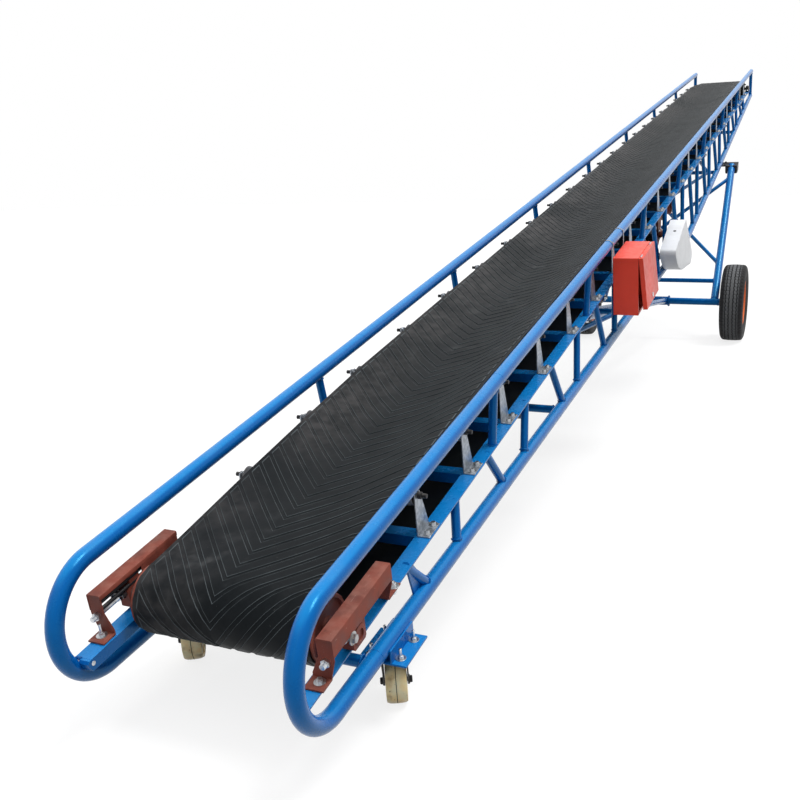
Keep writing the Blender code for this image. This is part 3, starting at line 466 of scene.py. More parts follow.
def red_oxide():
    """Matt red primer, faded paler by the sun on top, with pale scuffs and patches of dark grime."""
    colour = (0.235, 0.060, 0.040)
    n = Nodes("red_oxide")
    patch = n.noise(14.0, 6.0)
    shade = n.mix(n.ramp(patch, 0.3, 0.7), tint(colour, 0.72), tint(colour, 1.25))
    worn = n.times(n.upward(), n.patches(30.0, 6.0, 2.0, 0.35, 0.75, 0.0, 0.5))
    shade = n.mix(worn, shade, (0.40, 0.17, 0.125))
    scuff = n.patches(60.0, 4.0, 7.0, 0.66, 0.74, 0.0, 0.45, (0.6, 3.0, 3.0))
    shade = n.mix(scuff, shade, (0.42, 0.27, 0.22))
    shade = n.mix(n.patches(24.0, 6.0, 9.0, 0.60, 0.78, 0.0, 0.7), shade, (0.030, 0.018, 0.014))
    return n.finish(shade, n.ramp(patch, 0.3, 0.7, 0.45, 0.75), n.noise(130.0, 5.0), 0.0006, 0.5)


def nylon():
    """Cream cast nylon, stained brown and scuffed dark where it rolls."""
    n = Nodes("cream_nylon")
    n.put(n.out, "Subsurface Weight", 0.05)
    shade = n.mix(n.patches(28.0, 5.0, 0, 0.3, 0.7), (1.0, 0.76, 0.38), (1.0, 0.92, 0.62))
    stain = n.patches(34.0, 6.0, 3.0, 0.52, 0.78, 0.0, 0.60)
    shade = n.mix(stain, shade, (0.33, 0.22, 0.11))
    shade = n.mix(n.patches(70.0, 4.0, 6.0, 0.66, 0.74, 0.0, 0.7), shade, (0.05, 0.04, 0.03))
    return n.finish(shade, n.ramp(stain, 0.0, 0.65, 0.36, 0.6), n.noise(120.0, 4.0), 0.0004, 0.4)


AZURE = (0.15, 0.75, 1.0)
# The blue paint's paler top colour is painted light from above, not a change in the paint.
BLUE = paint("blue_paint", (0.0005, 0.110, 0.42), 0.25, 0.06, 0.30, bright=0.06, shine=0.50, sheen=AZURE,
             painted_top_light=(0.008, 0.26, 0.66))
DARK_BLUE = paint("blue_paint_grimy", (0.001, 0.100, 0.36), 0.42, 0.2, 0.7, sheen=AZURE)
WELD = paint("painted_weld", (0.001, 0.105, 0.38), 0.40, 0.15, 0.8, shine=0.35, sheen=AZURE)
ORANGE = paint("orange_paint", (0.87, 0.062, 0.028), 0.36, 0.12, 0.35, (0.62, 0.34, 0.27), 0.12, 0.4)
DOOR = paint("orange_door", (0.84, 0.062, 0.028), 0.40, 0.25, 1.0, (0.80, 0.50, 0.42), 0.16, 0.4)
RIM = paint("orange_rim", (0.86, 0.20, 0.060), 0.36, 0.30, 0.4)
WHITE = paint("grey_sheet", (0.80, 0.82, 0.85), 0.33, 0.25, 0.35, (0.32, 0.31, 0.30), 0.06)
BLACK = paint("black_steel", (0.018, 0.018, 0.020), 0.42, 0.35, 0.4, (0.09, 0.075, 0.065))
MOTOR = paint("motor_paint", (0.014, 0.015, 0.018), 0.38, 0.30, 0.4, (0.10, 0.09, 0.085))
RED = red_oxide()
BELT = belt_rubber()
TYRE = rubber("tyre_rubber", (0.011, 0.011, 0.013))
GALV = galvanised()
ZINC = bare_metal("zinc", (0.62, 0.64, 0.66), 0.28, 0.30, dark=(0.20, 0.18, 0.16))
STEEL = bare_metal("worn_steel", (0.40, 0.40, 0.40), 0.34, 0.55)
ROLLER = bare_metal("roller_shell", (0.13, 0.13, 0.135), 0.42, 0.6, metal=0.6, dark=(0.05, 0.04, 0.035))
NYLON = nylon()
INSIDE = rubber("dark_inside", (0.012, 0.012, 0.012), dust=0.1)


# Hand rails, posts, lower chords and lattice
def rail(side):
    """Hand rail and tail loop, with its weld beads, the butt joint's mark and its open head end."""
    sign = SIDES[side]
    y = sign * HALF
    shape = Shape(f"rail_tube_{side}")
    loop = [at(s, y, n) for s, n in arc(LOOP_R, pi / 2, 3 * pi / 2, 36, (0, LOOP_N))]
    start = at(JOINT_S, y, chord_n(JOINT_S))
    head = [at(s, y, RAIL_N) for s in (3.0, 6.0, 9.0, HEAD_S)]
    shape.tube([start, *loop[::-1], *head], TUBE_R, 28, bore=BORE_R)
    shape.bead(aim(start, loop[-1]), TUBE_R - 0.0016, 0.0022, sides=40)
    joint = at(1.30 if side == "right" else 1.62, y, RAIL_N)
    shape.bead(aim(joint, joint + ALONG), TUBE_R - 0.0013, 0.0018, sides=40)
    for s in POSTS:
        foot, top = at(s, sign * FLANGE_Y, 0), at(s, y, RAIL_N)
        shape.rod(foot, top, LATTICE_R, 18)
        shape.bead(bed(s, sign * FLANGE_Y, 0.0015), LATTICE_R + 0.0005)
        shape.bead(aim(foot, top) @ shift(z=RAIL_N - TUBE_R + 0.001), LATTICE_R)
    nodes = [f"hand_rail_{side}", *(f"rail_post_{side}_{k}" for k in range(1, 8))]
    shape.make("truss", [BLUE, WELD], nodes, "blue_paint")


def chord(side):
    """Lower chord with its lattice members, weld beads, gusset and the end post at the head."""
    sign = SIDES[side]
    y = sign * HALF
    shape = Shape(f"chord_tube_{side}")
    knee = 0.05
    bend = [at(s, y, chord_n(s)) for s in (JOINT_S, BELLY_S - knee)]
    bend += [at(BELLY_S, y, BELLY_N + 0.0012), at(BELLY_S + knee, y, chord_n(BELLY_S + knee))]
    shape.tube([*bend, at(HEAD_S, y, NOSE_N)], TUBE_R, 24, bore=BORE_R)
    members = [(0.480, 0.590), (0.88, 0.82)]
    first, bay, bays = 1.425, 0.84, 12
    for middle in (first + bay * k for k in range(bays)):
        members += [(middle + way * 0.235, middle + way * 0.125) for way in (-1, 1)]
    for top, foot in members:
        low, high = at(foot, y, chord_n(foot)), at(top, sign * FLANGE_Y, -ANGLE_T)
        shape.rod(low, high, LATTICE_R, 18)
        lean = aim(low, high)
        stretch = 1 / sqrt(1 - min(0.9, abs(lean.col[2].to_3d().dot(ALONG))) ** 2)
        shape.bead(lean @ shift(z=TUBE_R * 1.02 * stretch), LATTICE_R, 0.0034)
        shape.bead(bed(top, sign * FLANGE_Y, -ANGLE_T - 0.0015), LATTICE_R, 0.0034, stretch=stretch)
    end = HEAD_S - TUBE_R
    shape.rod(at(end, y, NOSE_N), at(end, y, RAIL_N), TUBE_R * 0.8, 20)
    for n in (NOSE_N + TUBE_R, RAIL_N - TUBE_R):
        shape.bead(bed(end, y, n), TUBE_R * 0.8, 0.0036)
    for s in (5.2, 10.4):
        shape.bead(aim(*(at(x, y, chord_n(x)) for x in (s, s + 0.1))), TUBE_R - 0.0014, 0.002, sides=40)
    gusset = ((0.470, -ANGLE_T), (0.502, -ANGLE_T), (0.600, chord_n(0.60)), (0.502, chord_n(0.502)))
    shape.plate(gusset, sign, HALF - 0.013, HALF - 0.007)
    shape.make("truss", [BLUE, WELD], [f"lower_chord_{side}"], "blue_paint")


for side in SIDES:
    rail(side)
    chord(side)


# Bed angles and cross channels
def bed_frame():
    """Bed angles in four lengths with a closer at the tail, and the cross channel of every station."""
    shape = Shape("bed_angles")
    tail = 0.0016 - sqrt((LOOP_R - TUBE_R) ** 2 - (LOOP_N + ANGLE_T) ** 2)
    cuts = [tail, 3.168, 6.096, 9.024, HEAD_S - 2.2 * TUBE_R]
    leg, inside = 0.034, HALF - ANGLE
    section = ((-ANGLE, 0), (0, 0), (0, -ANGLE_T), (ANGLE_T - ANGLE, -ANGLE_T), (ANGLE_T - ANGLE, -leg),
               (-ANGLE, -leg))
    closer = ((tail + 0.002, -0.0004), (-0.122, -0.001), (-0.128, -0.008), (-0.126, -0.018), (-0.117, -leg),
              (tail + 0.002, -leg))
    for sign in (-1, 1):
        place = axes(ACROSS * sign, SQUARE, ACROSS.cross(SQUARE) * sign, at(0, sign * HALF, 0))
        for a, b in zip(cuts, cuts[1:]):
            shape.prism(place, section, *pair(sign, a, b - 0.0008))
        for s in cuts[1:4]:
            shape.seam(*(at(s, sign * y, 0.0006) for y in (HALF - 0.048, HALF - 0.002)), 0.0022)
        shape.plate(closer, sign, inside + 0.0003, HALF - 0.018)
        shape.seam(*(at(tail - 0.002, sign * y, -0.001) for y in (HALF - 0.020, HALF - 0.002)), 0.004)
        mark = outward(-0.110, sign * (inside + 0.001), -0.014, -sign)
        shape.lathe(mark, ((0, 0), (0.0070, 0), (0.0062, 0.0016), (0.0040, 0.0024), (0, 0.0026)), 20, 2)
    w, h, t, top = 0.0225, 0.036, 0.004, -ANGLE_T - 0.001
    channel = ((-w, top - h), (-w, top), (w, top), (w, top - t), (t - w, top - t), (t - w, top - h))
    reach = inside - 0.0005
    for s, _ in STATIONS:
        shape.prism(side_view(), [(s + x, n) for x, n in channel], -reach, reach)
    nodes = [f"bed_section_{k}" for k in range(1, 5)]
    shape.make("truss", [BLUE, WELD, ZINC], nodes, "blue_paint", bevel=0.0012)


def trough(share, y):
    """Rise of the belt's underside at y across, for a share of the full trough."""
    over = abs(y) - TROUGH_FLAT
    return (over + sqrt(over * over + 0.0001)) / 2 * tan(TROUGH_ANGLE * share)


def both_ends(rim, radius, long):
    """Profile of a whole roller or drum, from the profile of one of its ends."""
    half = [*rim, (radius, long / 2)]
    return half + [(r, long - z) for r, z in half[-2::-1]]


def idlers():
    """Rollers, galvanised end brackets, inner stands and their fasteners at every station."""
    rollers, brackets, bolts = Shape("idler_rollers"), Shape("idler_brackets"), Shape("idler_bolts")
    seat = DRUM_N + DRUM_R - 0.0004
    low, top = seat - ROLLER_R, -ANGLE_T - 0.001
    web_y = HALF - ANGLE + 0.007
    rim = [(0, 0.004), (0.006, 0.004), (0.0062, 0.0015), (0.013, 0.0015), (0.014, 0.005),
           *((ROLLER_R - x, z) for x, z in ((0.004, 0.005), (0.003, 0.0), (0.0007, 0.0), (0, 0.0012)))]
    stub = ((0, 0), (0.0110, 0), (0.0110, 0.010), (0.0070, 0.012), (0.0070, 0.026), (0, 0.027))
    for number, (s, share) in enumerate(STATIONS):
        lean = TROUGH_ANGLE * share
        drop, recess = ROLLER_R / cos(lean), ROLLER_R * sin(lean)
        inner, outer = TROUGH_FLAT + 0.001 + recess, web_y + 0.002 - recess
        in_n, out_n, roll_n = (seat + (y - TROUGH_FLAT) * tan(lean) - drop for y in (inner, outer, web_y))
        tip = roll_n + 0.012
        runs = [(at(s, -TROUGH_FLAT, low), at(s, TROUGH_FLAT, low))]
        half = ((0.018, top), (0.013, low + 0.010), (0.006, low + 0.010), (0.006, low))
        left, right = ([(s + way * x, n) for x, n in half] for way in (-1, 1))
        for sign in (-1, 1):
            runs.append((at(s, sign * inner, in_n), at(s, sign * (outer - 0.004), out_n)))
            # From the sixth station on, the right-hand brackets have a taller horn
            horn = tip + (0.026 if number > 4 and sign < 0 else 0.004)
            outline = [(-0.032, 0.0042), (0.052, 0.0042), (0.052, 0.012), (0.010, tip), (0.006, tip),
                       (0.006, roll_n - 0.002), (0.003, roll_n - 0.007), (-0.003, roll_n - 0.007),
                       (-0.006, roll_n - 0.002), (-0.006, horn), (-0.024, horn), (-0.027, horn - 0.003)]
            brackets.plate([(s + x, n) for x, n in outline], sign, web_y, web_y + 0.004)
            brackets.box(bed(s, 0, 0), (-0.032, 0.052), pair(sign, web_y, HALF - 0.003), (0.0, 0.004))
            for x in (-0.010, 0.040):
                bolts.bolt(bed(s + x, sign * FLANGE_Y, 0.004), 0.0135)
                bolts.hexagon(below(s + x, sign * FLANGE_Y), 0.0135, 0, 0.010)
            shaft = at(s, sign * (outer - 0.01), out_n - 0.0005)
            bolts.rod(shaft, at(s, sign * (web_y + 0.009), roll_n), 0.0055, 12)
            washer = axes(ALONG, SQUARE, -ACROSS * sign, at(s, sign * (web_y - 0.001), roll_n))
            bolts.disc(washer, 0.006, 0.0125, 0, 0.004, 16)
            bolts.lathe(outward(s, sign * (web_y + 0.004), roll_n, sign), stub, 14, 1)
            stand = [left[0], *right, *left[:0:-1]]
            brackets.plate(stand, sign, TROUGH_FLAT - 0.002, TROUGH_FLAT + 0.002)
        for a, b in runs:
            rollers.lathe(aim(a, b), both_ends(rim, ROLLER_R, (b - a).length), 24)
    rollers.make("truss", [ROLLER])
    brackets.make("truss", [GALV], bevel=0.0006)
    bolts.make("truss", [ZINC, BLACK])


bed_frame()
idlers()


# Belt
class Path:
    """Straight runs and arcs of the belt's inner face in (s, n), measured by length."""

    def __init__(self):
        self.parts, self.long = [], 0.0

    def line(self, a, b):
        self.parts.append((self.long, "line", a, b))
        self.long += hypot(b[0] - a[0], b[1] - a[1])

    def arc(self, centre, radius, a, b):
        self.parts.append((self.long, "arc", centre, (radius, a, b)))
        self.long += radius * abs(b - a)

    def end(self):
        kind, one, two = self.parts[-1][1:]
        if kind == "line":
            return two
        radius, _, b = two
        return (one[0] + radius * cos(b), one[1] + radius * sin(b))

    def point(self, w):
        """Place and direction of travel at a length along the loop."""
        w %= self.long
        start, kind, one, two = [part for part in self.parts if part[0] <= w][-1]
        if kind == "line":
            run = ((two[0] - one[0]), (two[1] - one[1]))
            long = hypot(*run)
            u = (w - start) / long
            return (one[0] + run[0] * u, one[1] + run[1] * u), (run[0] / long, run[1] / long)
        radius, a, b = two
        way = 1 if b > a else -1
        angle = a + way * (w - start) / radius
        return ((one[0] + radius * cos(angle), one[1] + radius * sin(angle)),
                (-way * sin(angle), way * cos(angle)))


def belt_path():
    """The belt's closed loop, from the tail drum up the top run and back round the drive drum."""
    top = DRUM_N + DRUM_R
    low = DRUM_N - DRUM_R
    bend = BEND_R + BELT_T
    drop = low - bend - DRIVE_N
    slant = hypot(drop, BEND_REACH)
    turn = atan2(drop, BEND_REACH) + asin((DRIVE_R + bend) / slant)
    path = Path()
    path.line((TAIL_DRUM_S, top), (HEAD_DRUM_S, top))
    path.arc((HEAD_DRUM_S, DRUM_N), DRUM_R, pi / 2, -pi / 2)
    arcs = (((DRIVE_S + BEND_REACH, low - bend), bend, pi / 2, pi / 2 + turn),
            ((DRIVE_S, DRIVE_N), DRIVE_R, turn - pi / 2, -pi / 2 - turn),
            ((DRIVE_S - BEND_REACH, low - bend), bend, pi / 2 - turn, pi / 2),
            ((TAIL_DRUM_S, DRUM_N), DRUM_R, -pi / 2, -3 * pi / 2))
    for centre, radius, a, b in arcs:
        path.line(path.end(), (centre[0] + radius * cos(a), centre[1] + radius * sin(a)))
        path.arc(centre, radius, a, b)
    return path


def share_at(s):
    """Share of the full trough at s on the top run."""
    knots = [(TAIL_DRUM_S + 0.05, 0.0), *STATIONS, (HEAD_DRUM_S - 0.05, 0.0)]
    for (a, p), (b, q) in zip(knots, knots[1:]):
        if a <= s <= b:
            return p + (q - p) * (s - a) / (b - a)
    return 0.0


def belt():
    """Endless belt with closed chevron blocks moulded on its outer face."""
    path = belt_path()
    pitches = round(path.long / RIB_PITCH)
    pitch = path.long / pitches
    gap, ramp = RIB_GAP / pitch / 2, RIB_RAMP / pitch
    end, base, painted_floor_light = 0.246, BELT_T - 0.0022, 0.36
    steps = [(gap, 0), (gap + ramp, 1), (gap + 3 * ramp, 1)]
    steps += [(1 - u, tall) for u, tall in steps[::-1]]
    inner_half, flat = BELT_HALF - 0.001, end - 0.0045
    columns = [-inner_half - 0.001, -end - 0.0012, -end, -end + 0.0030, -flat]
    columns += [RIB_APEX - (RIB_APEX + flat) * (1 - k / 10) for k in range(1, 11)]
    columns += [RIB_APEX + (flat - RIB_APEX) * k / 10 for k in range(1, 11)]
    columns += [end - 0.0030, end, end + 0.0012, inner_half + 0.001]
    spots = [(True, y) for y in columns] + [(False, inner_half * (1 - k / 4.5)) for k in range(10)]
    rows, edge = [], []
    for number in range(pitches):
        for u, tall in steps:
            row = []
            lip = min(u, 1 - u) < gap + ramp * 1.5
            for outer, y in spots:
                slant = min(abs(y - RIB_APEX), end) * RIB_SLANT if outer else 0.0
                (s, n), (along_s, along_n) = path.point((number + u) * pitch + slant)
                lift = trough(share_at(s), y) if n > DRUM_N and abs(along_n) < 0.001 else 0.0
                raised = tall if outer and abs(y) <= end else 0
                if raised and abs(abs(y) - end) < 1e-6:
                    raised = 0.8
                thick = base + (BELT_T - base) * raised if outer else 0.0
                if outer and abs(y) > end + 0.002:
                    thick -= 0.0008
                row.append(at(s, y, n + lift) + (ALONG * -along_n + SQUARE * along_s) * thick)
                # Edge values: 1 on the blocks' edges; the groove floors get the floor value, which is
                # painted light against their shade.
                if raised:
                    edge.append(1.0 if lip or abs(y) > end - 0.004 else 0.0)
                else:
                    edge.append(painted_floor_light if outer and abs(y) < end else 0.0)
            rows.append(row)
    shape = Shape("belt_skin")
    shape.grid(rows, loop=True)
    mark_edge_paint_and_painted_light(shape.make("truss", [BELT], ["belt"], "belt_rubber", smooth=24.0), edge)


belt()


# Drums, return rollers and their hangers
def shell(shape, s, n, half, radius, shaft, stub=0.008, steps=48):
    """Drum or roller across the bed, with recessed ends and a shaft that stands out by stub."""
    a, b = at(s, -half, n), at(s, half, n)
    rim = [(0, 0.004), (shaft, 0.004), (shaft + 0.012, 0.004), (shaft + 0.016, 0.010),
           (radius - 0.012, 0.010), (radius - 0.010, 0.0), (radius - 0.002, 0.0), (radius, 0.002)]
    shape.lathe(aim(a, b), both_ends(rim, radius, (b - a).length), steps)
    shape.rod(a - ACROSS * stub, b + ACROSS * stub, shaft, 24)


def hangers(shape, s, n, radius, half, spread):
    """Pair of plates from the bed angles down round a shaft."""
    top = -0.008
    outline = [(s - spread, top), *arc(radius, pi + 0.25, 2 * pi - 0.25, 14, (s, n)), (s + spread, top)]
    for sign in (-1, 1):
        shape.plate(outline, sign, half, half + 0.005)


def vee_belt(shape, sheaves, y, kind=0):
    """V-belt round two sheaves: (centre s, centre n, radius) each, at one y."""
    (s1, n1, r1), (s2, n2, r2) = sheaves
    base = atan2(n2 - n1, s2 - s1)
    lean = asin((r1 - r2) / hypot(s2 - s1, n2 - n1))
    section = ((-0.0065, 0.004), (0.0065, 0.004), (0.0045, -0.004), (-0.0045, -0.004))
    rows = []
    for s, n, r, a, b in ((s1, n1, r1, base + pi / 2 - lean, base + 3 * pi / 2 + lean),
                          (s2, n2, r2, base - pi / 2 + lean, base + pi / 2 - lean)):
        for turn in (a + (b - a) * k / 20 for k in range(21)):
            rows.append([at(s + (r + out) * cos(turn), y + wide, n + (r + out) * sin(turn))
                         for wide, out in section])
    shape.grid(rows, kind, loop=True)


def sheave(shape, s, n, r):
    """Two-groove pulley on a shaft, between PULLEY_Y and 40 mm out from it."""
    profile = [(0, 0.001), (0.016, 0.001), (0.018, 0.006), (r - 0.012, 0.006), (r - 0.010, 0.001),
               (r - 0.001, 0.001)]
    for z in (0.011, 0.029):
        profile += [(r - 0.0005, z - 0.0072), (r - 0.011, z - 0.0040), (r - 0.011, z + 0.0040),
                    (r - 0.0005, z + 0.0072)]
    profile += [(r - 0.001, 0.039), (r - 0.010, 0.039), (r - 0.012, 0.034), (0.018, 0.034), (0.016, 0.0395),
                (0, 0.0395)]
    shape.lathe(axes(ALONG, SQUARE, -ACROSS, at(s, PULLEY_Y, n)), profile, 40)


PULLEY_Y = -0.3894
MOTOR_S, MOTOR_Y, MOTOR_N, MOTOR_R = 4.875, -0.055, -0.315, 0.078


def drums():
    """Tail, head, drive and snub drums with their plates, and the return side's rollers."""
    drum_half, face_y, cover = 0.272, 0.2828, 0.0015
    for name, s, stub, material, slot in (("tail_drum", TAIL_DRUM_S, 0.061, RED, "red_oxide"),
                                          ("head_drum", HEAD_DRUM_S, 0.055, BLACK, "black_steel")):
        shape = Shape(f"{name}_skin")
        shell(shape, s, DRUM_N, drum_half, DRUM_R - cover, 0.015, stub)
        shape.make("truss", [material], [name], slot)
    hub = ((0.012, 0), (0.034, 0), (0.034, 0.006), (0.026, 0.010), (0.024, 0.0172), (0.012, 0.0172))
    for name, s, n, radius, spread in (("drive_drum", DRIVE_S, DRIVE_N, DRIVE_R - cover, 0.100),
                                       ("snub_drum", SNUB_S, -0.1248, SNUB_R, 0.070)):
        shape = Shape(f"{name}_skin")
        shell(shape, s, n, drum_half, radius, 0.020)
        hangers(shape, s, n, 0.046, 0.278, spread)
        for sign in (-1, 1):
            place = outward(s, sign * face_y, n, sign)
            shape.lathe(place, hub, 28)
            for x, y in arc(0.0365, pi / 4, 7 * pi / 4, 3):
                shape.bolt(place @ shift(x, y), 0.012, 1)
            for way in (-1, 1):
                spot = at(s + way * (spread - 0.022), sign * face_y, -0.026)
                shape.bolt(axes(ALONG, -SQUARE * sign, ACROSS * sign, spot), 0.014, 1)
        shape.make("truss", [RED, ZINC, STEEL], [name], "red_oxide")
    shape = Shape("drive_sheave")
    sheave(shape, DRIVE_S, DRIVE_N, 0.058)
    shape.rod(at(DRIVE_S, -0.280, DRIVE_N), at(DRIVE_S, PULLEY_Y + 0.001, DRIVE_N), 0.0145, 20, 1)
    for y in (PULLEY_Y - 0.011, PULLEY_Y - 0.029):
        vee_belt(shape, ((DRIVE_S, DRIVE_N, 0.0525), (MOTOR_S, MOTOR_N, 0.0395)), y, 2)
    shape.make("truss", [BLACK, STEEL, TYRE])

    rollers, straps = Shape("return_rollers_skin"), Shape("return_straps")
    low = DRUM_N - DRUM_R - BELT_T - 0.0004
    spots = [(s, low - ROLLER_R, ROLLER_R, 0.020) for s in RETURN_S]
    spots += [(DRIVE_S + way * BEND_REACH, -0.1028, 0.0385, 0.025) for way in (-1, 1)]
    for s, n, radius, half in spots:
        shell(rollers, s, n, 0.273, radius, 0.009, steps=28)
        outline = [(s - half, -0.008), (s - half, n - 0.008), (s - half + 0.010, n - half),
                   (s + half - 0.010, n - half), (s + half, n - 0.008), (s + half, -0.008)]
        for sign in (-1, 1):
            straps.plate(outline, sign, 0.2785, 0.2830)
            for bolt_n, across in ((n, 0.017), (-0.024, 0.012)):
                straps.bolt(outward(s, sign * 0.2830, bolt_n, sign), across, 1)
    names = [*(f"return_roller_{k}" for k in range(1, 5)), "bend_roller_tail", "bend_roller_head"]
    rollers.make("truss", [ROLLER], names, "steel")
    straps.make("truss", [DARK_BLUE, ZINC])


drums()


# Take-ups and head bearings
def screw(shape, a, b, radius, pitch=0.0025):
    """Threaded rod from a to b."""
    long = (b - a).length
    turns = max(4, int(long / pitch))
    profile = [(0, 0)]
    for z in (long * k / turns for k in range(turns)):
        profile += [(radius * 0.86, z + 0.0002), (radius, z + pitch * 0.45)]
    profile += [(radius * 0.86, long - 0.0002), (0, long)]
    shape.lathe(aim(a, b), profile, 16)


def take_up_skin(side):
    """Bent channel with its end plates, bearing block, screw and fasteners."""
    sign = SIDES[side]
    shape, metal = Shape(f"take_up_channel_{side}"), Shape(f"take_up_screw_{side}")
    inner, outer, foot_in, foot_out = 0.312, 0.356, 0.290, 0.342
    roof, skirt, wall = 0.115, 0.066, 0.004
    first, last = TAIL_DRUM_S - 0.140, TAIL_DRUM_S + 0.195
    lip, fold, corner = roof - 0.014, 0.004, 0.0012
    across = axes(ACROSS, SQUARE, ACROSS.cross(SQUARE), START)

    def swept(outline, low, high):
        shape.prism(across, [(sign * y, n) for y, n in outline], low, high)

    swept([(inner, lip), (inner, roof - fold), (inner + corner, roof - corner), (inner + fold, roof),
           (outer - fold, roof), (outer - corner, roof - corner), (outer, roof - fold), (outer, skirt),
           (outer - wall, skirt), (outer - wall, roof - wall), (inner + wall, roof - wall),
           (inner + wall, lip)],
          first, last)
    top, bottom = roof - 0.0015, 0.0024
    plate = [(outer - 0.001, top), (inner + 0.001, top), (inner + 0.001, skirt - 0.002),
             (foot_in + 0.001, bottom + 0.012), (foot_in + 0.001, bottom), (foot_out, bottom),
             (foot_out, bottom + 0.006), (outer - 0.001, skirt - 0.010)]
    for s, foot in ((first + 0.001, first - 0.044), (last - wall - 0.001, last + 0.072)):
        swept(plate, s, s + wall)
        shape.box(bed(0, 0, 0), sorted((foot, s + wall / 2)), pair(sign, foot_in, foot_out),
                  (0.0004, 0.0054))
    swept([(inner, skirt + 0.004), (inner + wall, skirt + 0.004), (inner + wall, lip + 0.002),
           (inner, lip + 0.002)], TAIL_DRUM_S + 0.03, last - 0.002)
    shape.make("truss", [RED], [f"take_up_{side}"], "red_oxide", bevel=0.0009)

    middle, screw_n = sign * (inner + outer) / 2, 0.053
    near, far = inner + 0.006, outer - 0.006
    block = ((-0.034, 0.010), (-0.028, 0.004), (0.028, 0.004), (0.034, 0.010), (0.034, 0.058),
             (0.020, 0.074), (0.020, 0.110), (-0.020, 0.110), (-0.020, 0.074), (-0.034, 0.058))
    metal.plate([(TAIL_DRUM_S + x, n) for x, n in block], sign, near, far, 3)
    rings = ((far, sign, 0.026, 0.003, 0.0045, 3), (near, -sign, 0.028, 0.002, 0.004, 1))
    for y, way, r, z, rim, kind in rings:
        face = outward(TAIL_DRUM_S, sign * y, DRUM_N, way)
        metal.lathe(face, ((0.0155, -0.001), (r, -0.001), (r, z), (0.0155, rim)), 28, kind)
    screw(metal, at(first - 0.022, middle, screw_n), at(TAIL_DRUM_S - 0.024, middle, screw_n), 0.0078)
    for y, n in ((inner + 0.010, 0.090), (outer - 0.012, 0.090), (inner + 0.010, 0.071)):
        metal.rod(at(first + 0.003, sign * y, n), at(last - 0.003, sign * y, n), 0.0055, 14, 2)
    for s, way, thick in ((TAIL_DRUM_S - 0.060, 1, 0.010), (TAIL_DRUM_S - 0.045, 1, 0.010),
                          (first + 0.001, -1, 0.011), (first + 0.005, 1, 0.011)):
        metal.hexagon(aim(at(s, middle, screw_n), at(s + way, middle, screw_n)), 0.021, 0.0, thick)
    pin = outward(0.082, sign * (inner + 0.010), 0.054, sign)
    metal.disc(pin, 0, 0.009, 0, 0.036, 16, 1)
    metal.disc(pin, 0.008, 0.0175, 0.032, 0.035, 24, 1)
    metal.hexagon(pin, 0.021, 0.035, 0.044, 1)
    studs = (0.024, 0.012) if side == "left" else (0.0, 0.004)
    feet = ((first - 0.016, 0.319, 0.0145, 0.019, 0.013), (last + 0.052, 0.327, 0.017, 0.017, 0.012))
    for stud, (s, y, head, nut, thick) in zip(studs, feet):
        metal.bolt(bed(s, sign * y, 0.0054), head, 0, stud)
        metal.hexagon(below(s, sign * y), nut, 0, thick)
    metal.make("truss", [ZINC, STEEL, BLACK, RED])


def bearing_skin(side):
    """Pillow block with a domed housing, grease nipple and two bolts."""
    sign = SIDES[side]
    shape = Shape(f"head_bearing_skin_{side}")
    middle, outer = sign * 0.310, 0.329
    foot = ((0.062, 0.0004), (0.062, 0.012), (0.050, 0.0145), (0.040, 0.0155))
    outline = [(-0.062, 0.0004), *foot, *arc(0.034, 0, pi, 14, (0, DRUM_N)),
               *((-x, n) for x, n in foot[:0:-1])]
    shape.plate([(HEAD_DRUM_S + x, n) for x, n in outline], sign, 0.291, outer)
    face = outward(HEAD_DRUM_S, sign * outer, DRUM_N, sign)
    cap = ((0.0155, -0.001), (0.030, -0.001), (0.028, 0.002), (0.020, 0.0025), (0.0155, 0.004))
    shape.lathe(face, cap, 28, 1)
    for s in (HEAD_DRUM_S - 0.050, HEAD_DRUM_S + 0.050):
        shape.bolt(bed(s, middle, 0.0140), 0.017, 2)
        shape.hexagon(below(s, middle), 0.017, 0, 0.012, 2)
    nipple = ((0, 0), (0.004, 0), (0.004, 0.004), (0.0022, 0.005), (0.0028, 0.009), (0, 0.0105))
    shape.lathe(bed(HEAD_DRUM_S, middle, DRUM_N + 0.033), nipple, 12, 2)
    shape.make("truss", [BLACK, STEEL, ZINC], [f"head_bearing_{side}"], "black_steel", bevel=0.001)


for side in SIDES:
    take_up_skin(side)
    bearing_skin(side)


# Bracing, motor platform and motor
def bracing_skin():
    """Cross tubes and diagonals between the lower chords, with their weld beads."""
    reach = HALF - TUBE_R + 0.002
    for name, node, sides, thick, places in (
            ("bracing_tail", "bottom_bracing_tail", 18, 0.0032, (2.07, 3.70)),
            ("bracing_head", "bottom_bracing_head", 18, 0.0032, (6.10, 8.00, 9.70, 11.20)),
            ("tail_cross_skin", "tail_cross_tube", 20, 0.0034, (0.19,))):
        shape = Shape(name)
        for k, s in enumerate(places):
            n = chord_n(s)
            shape.rod(at(s, -reach, n), at(s, reach, n), 0.017, sides)
            for sign in (-1, 1):
                shape.bead(outward(s, sign * (reach - 0.003), n, -sign), 0.017, thick)
            if k:
                way = 1 if k % 2 else -1
                a = at(places[k - 1] + 0.002, way * (reach - 0.05), chord_n(places[k - 1]))
                shape.rod(a, at(s - 0.002, -way * (reach - 0.05), n), 0.0146, 18)
        shape.make("truss", [BLUE, WELD], [node], "blue_paint")


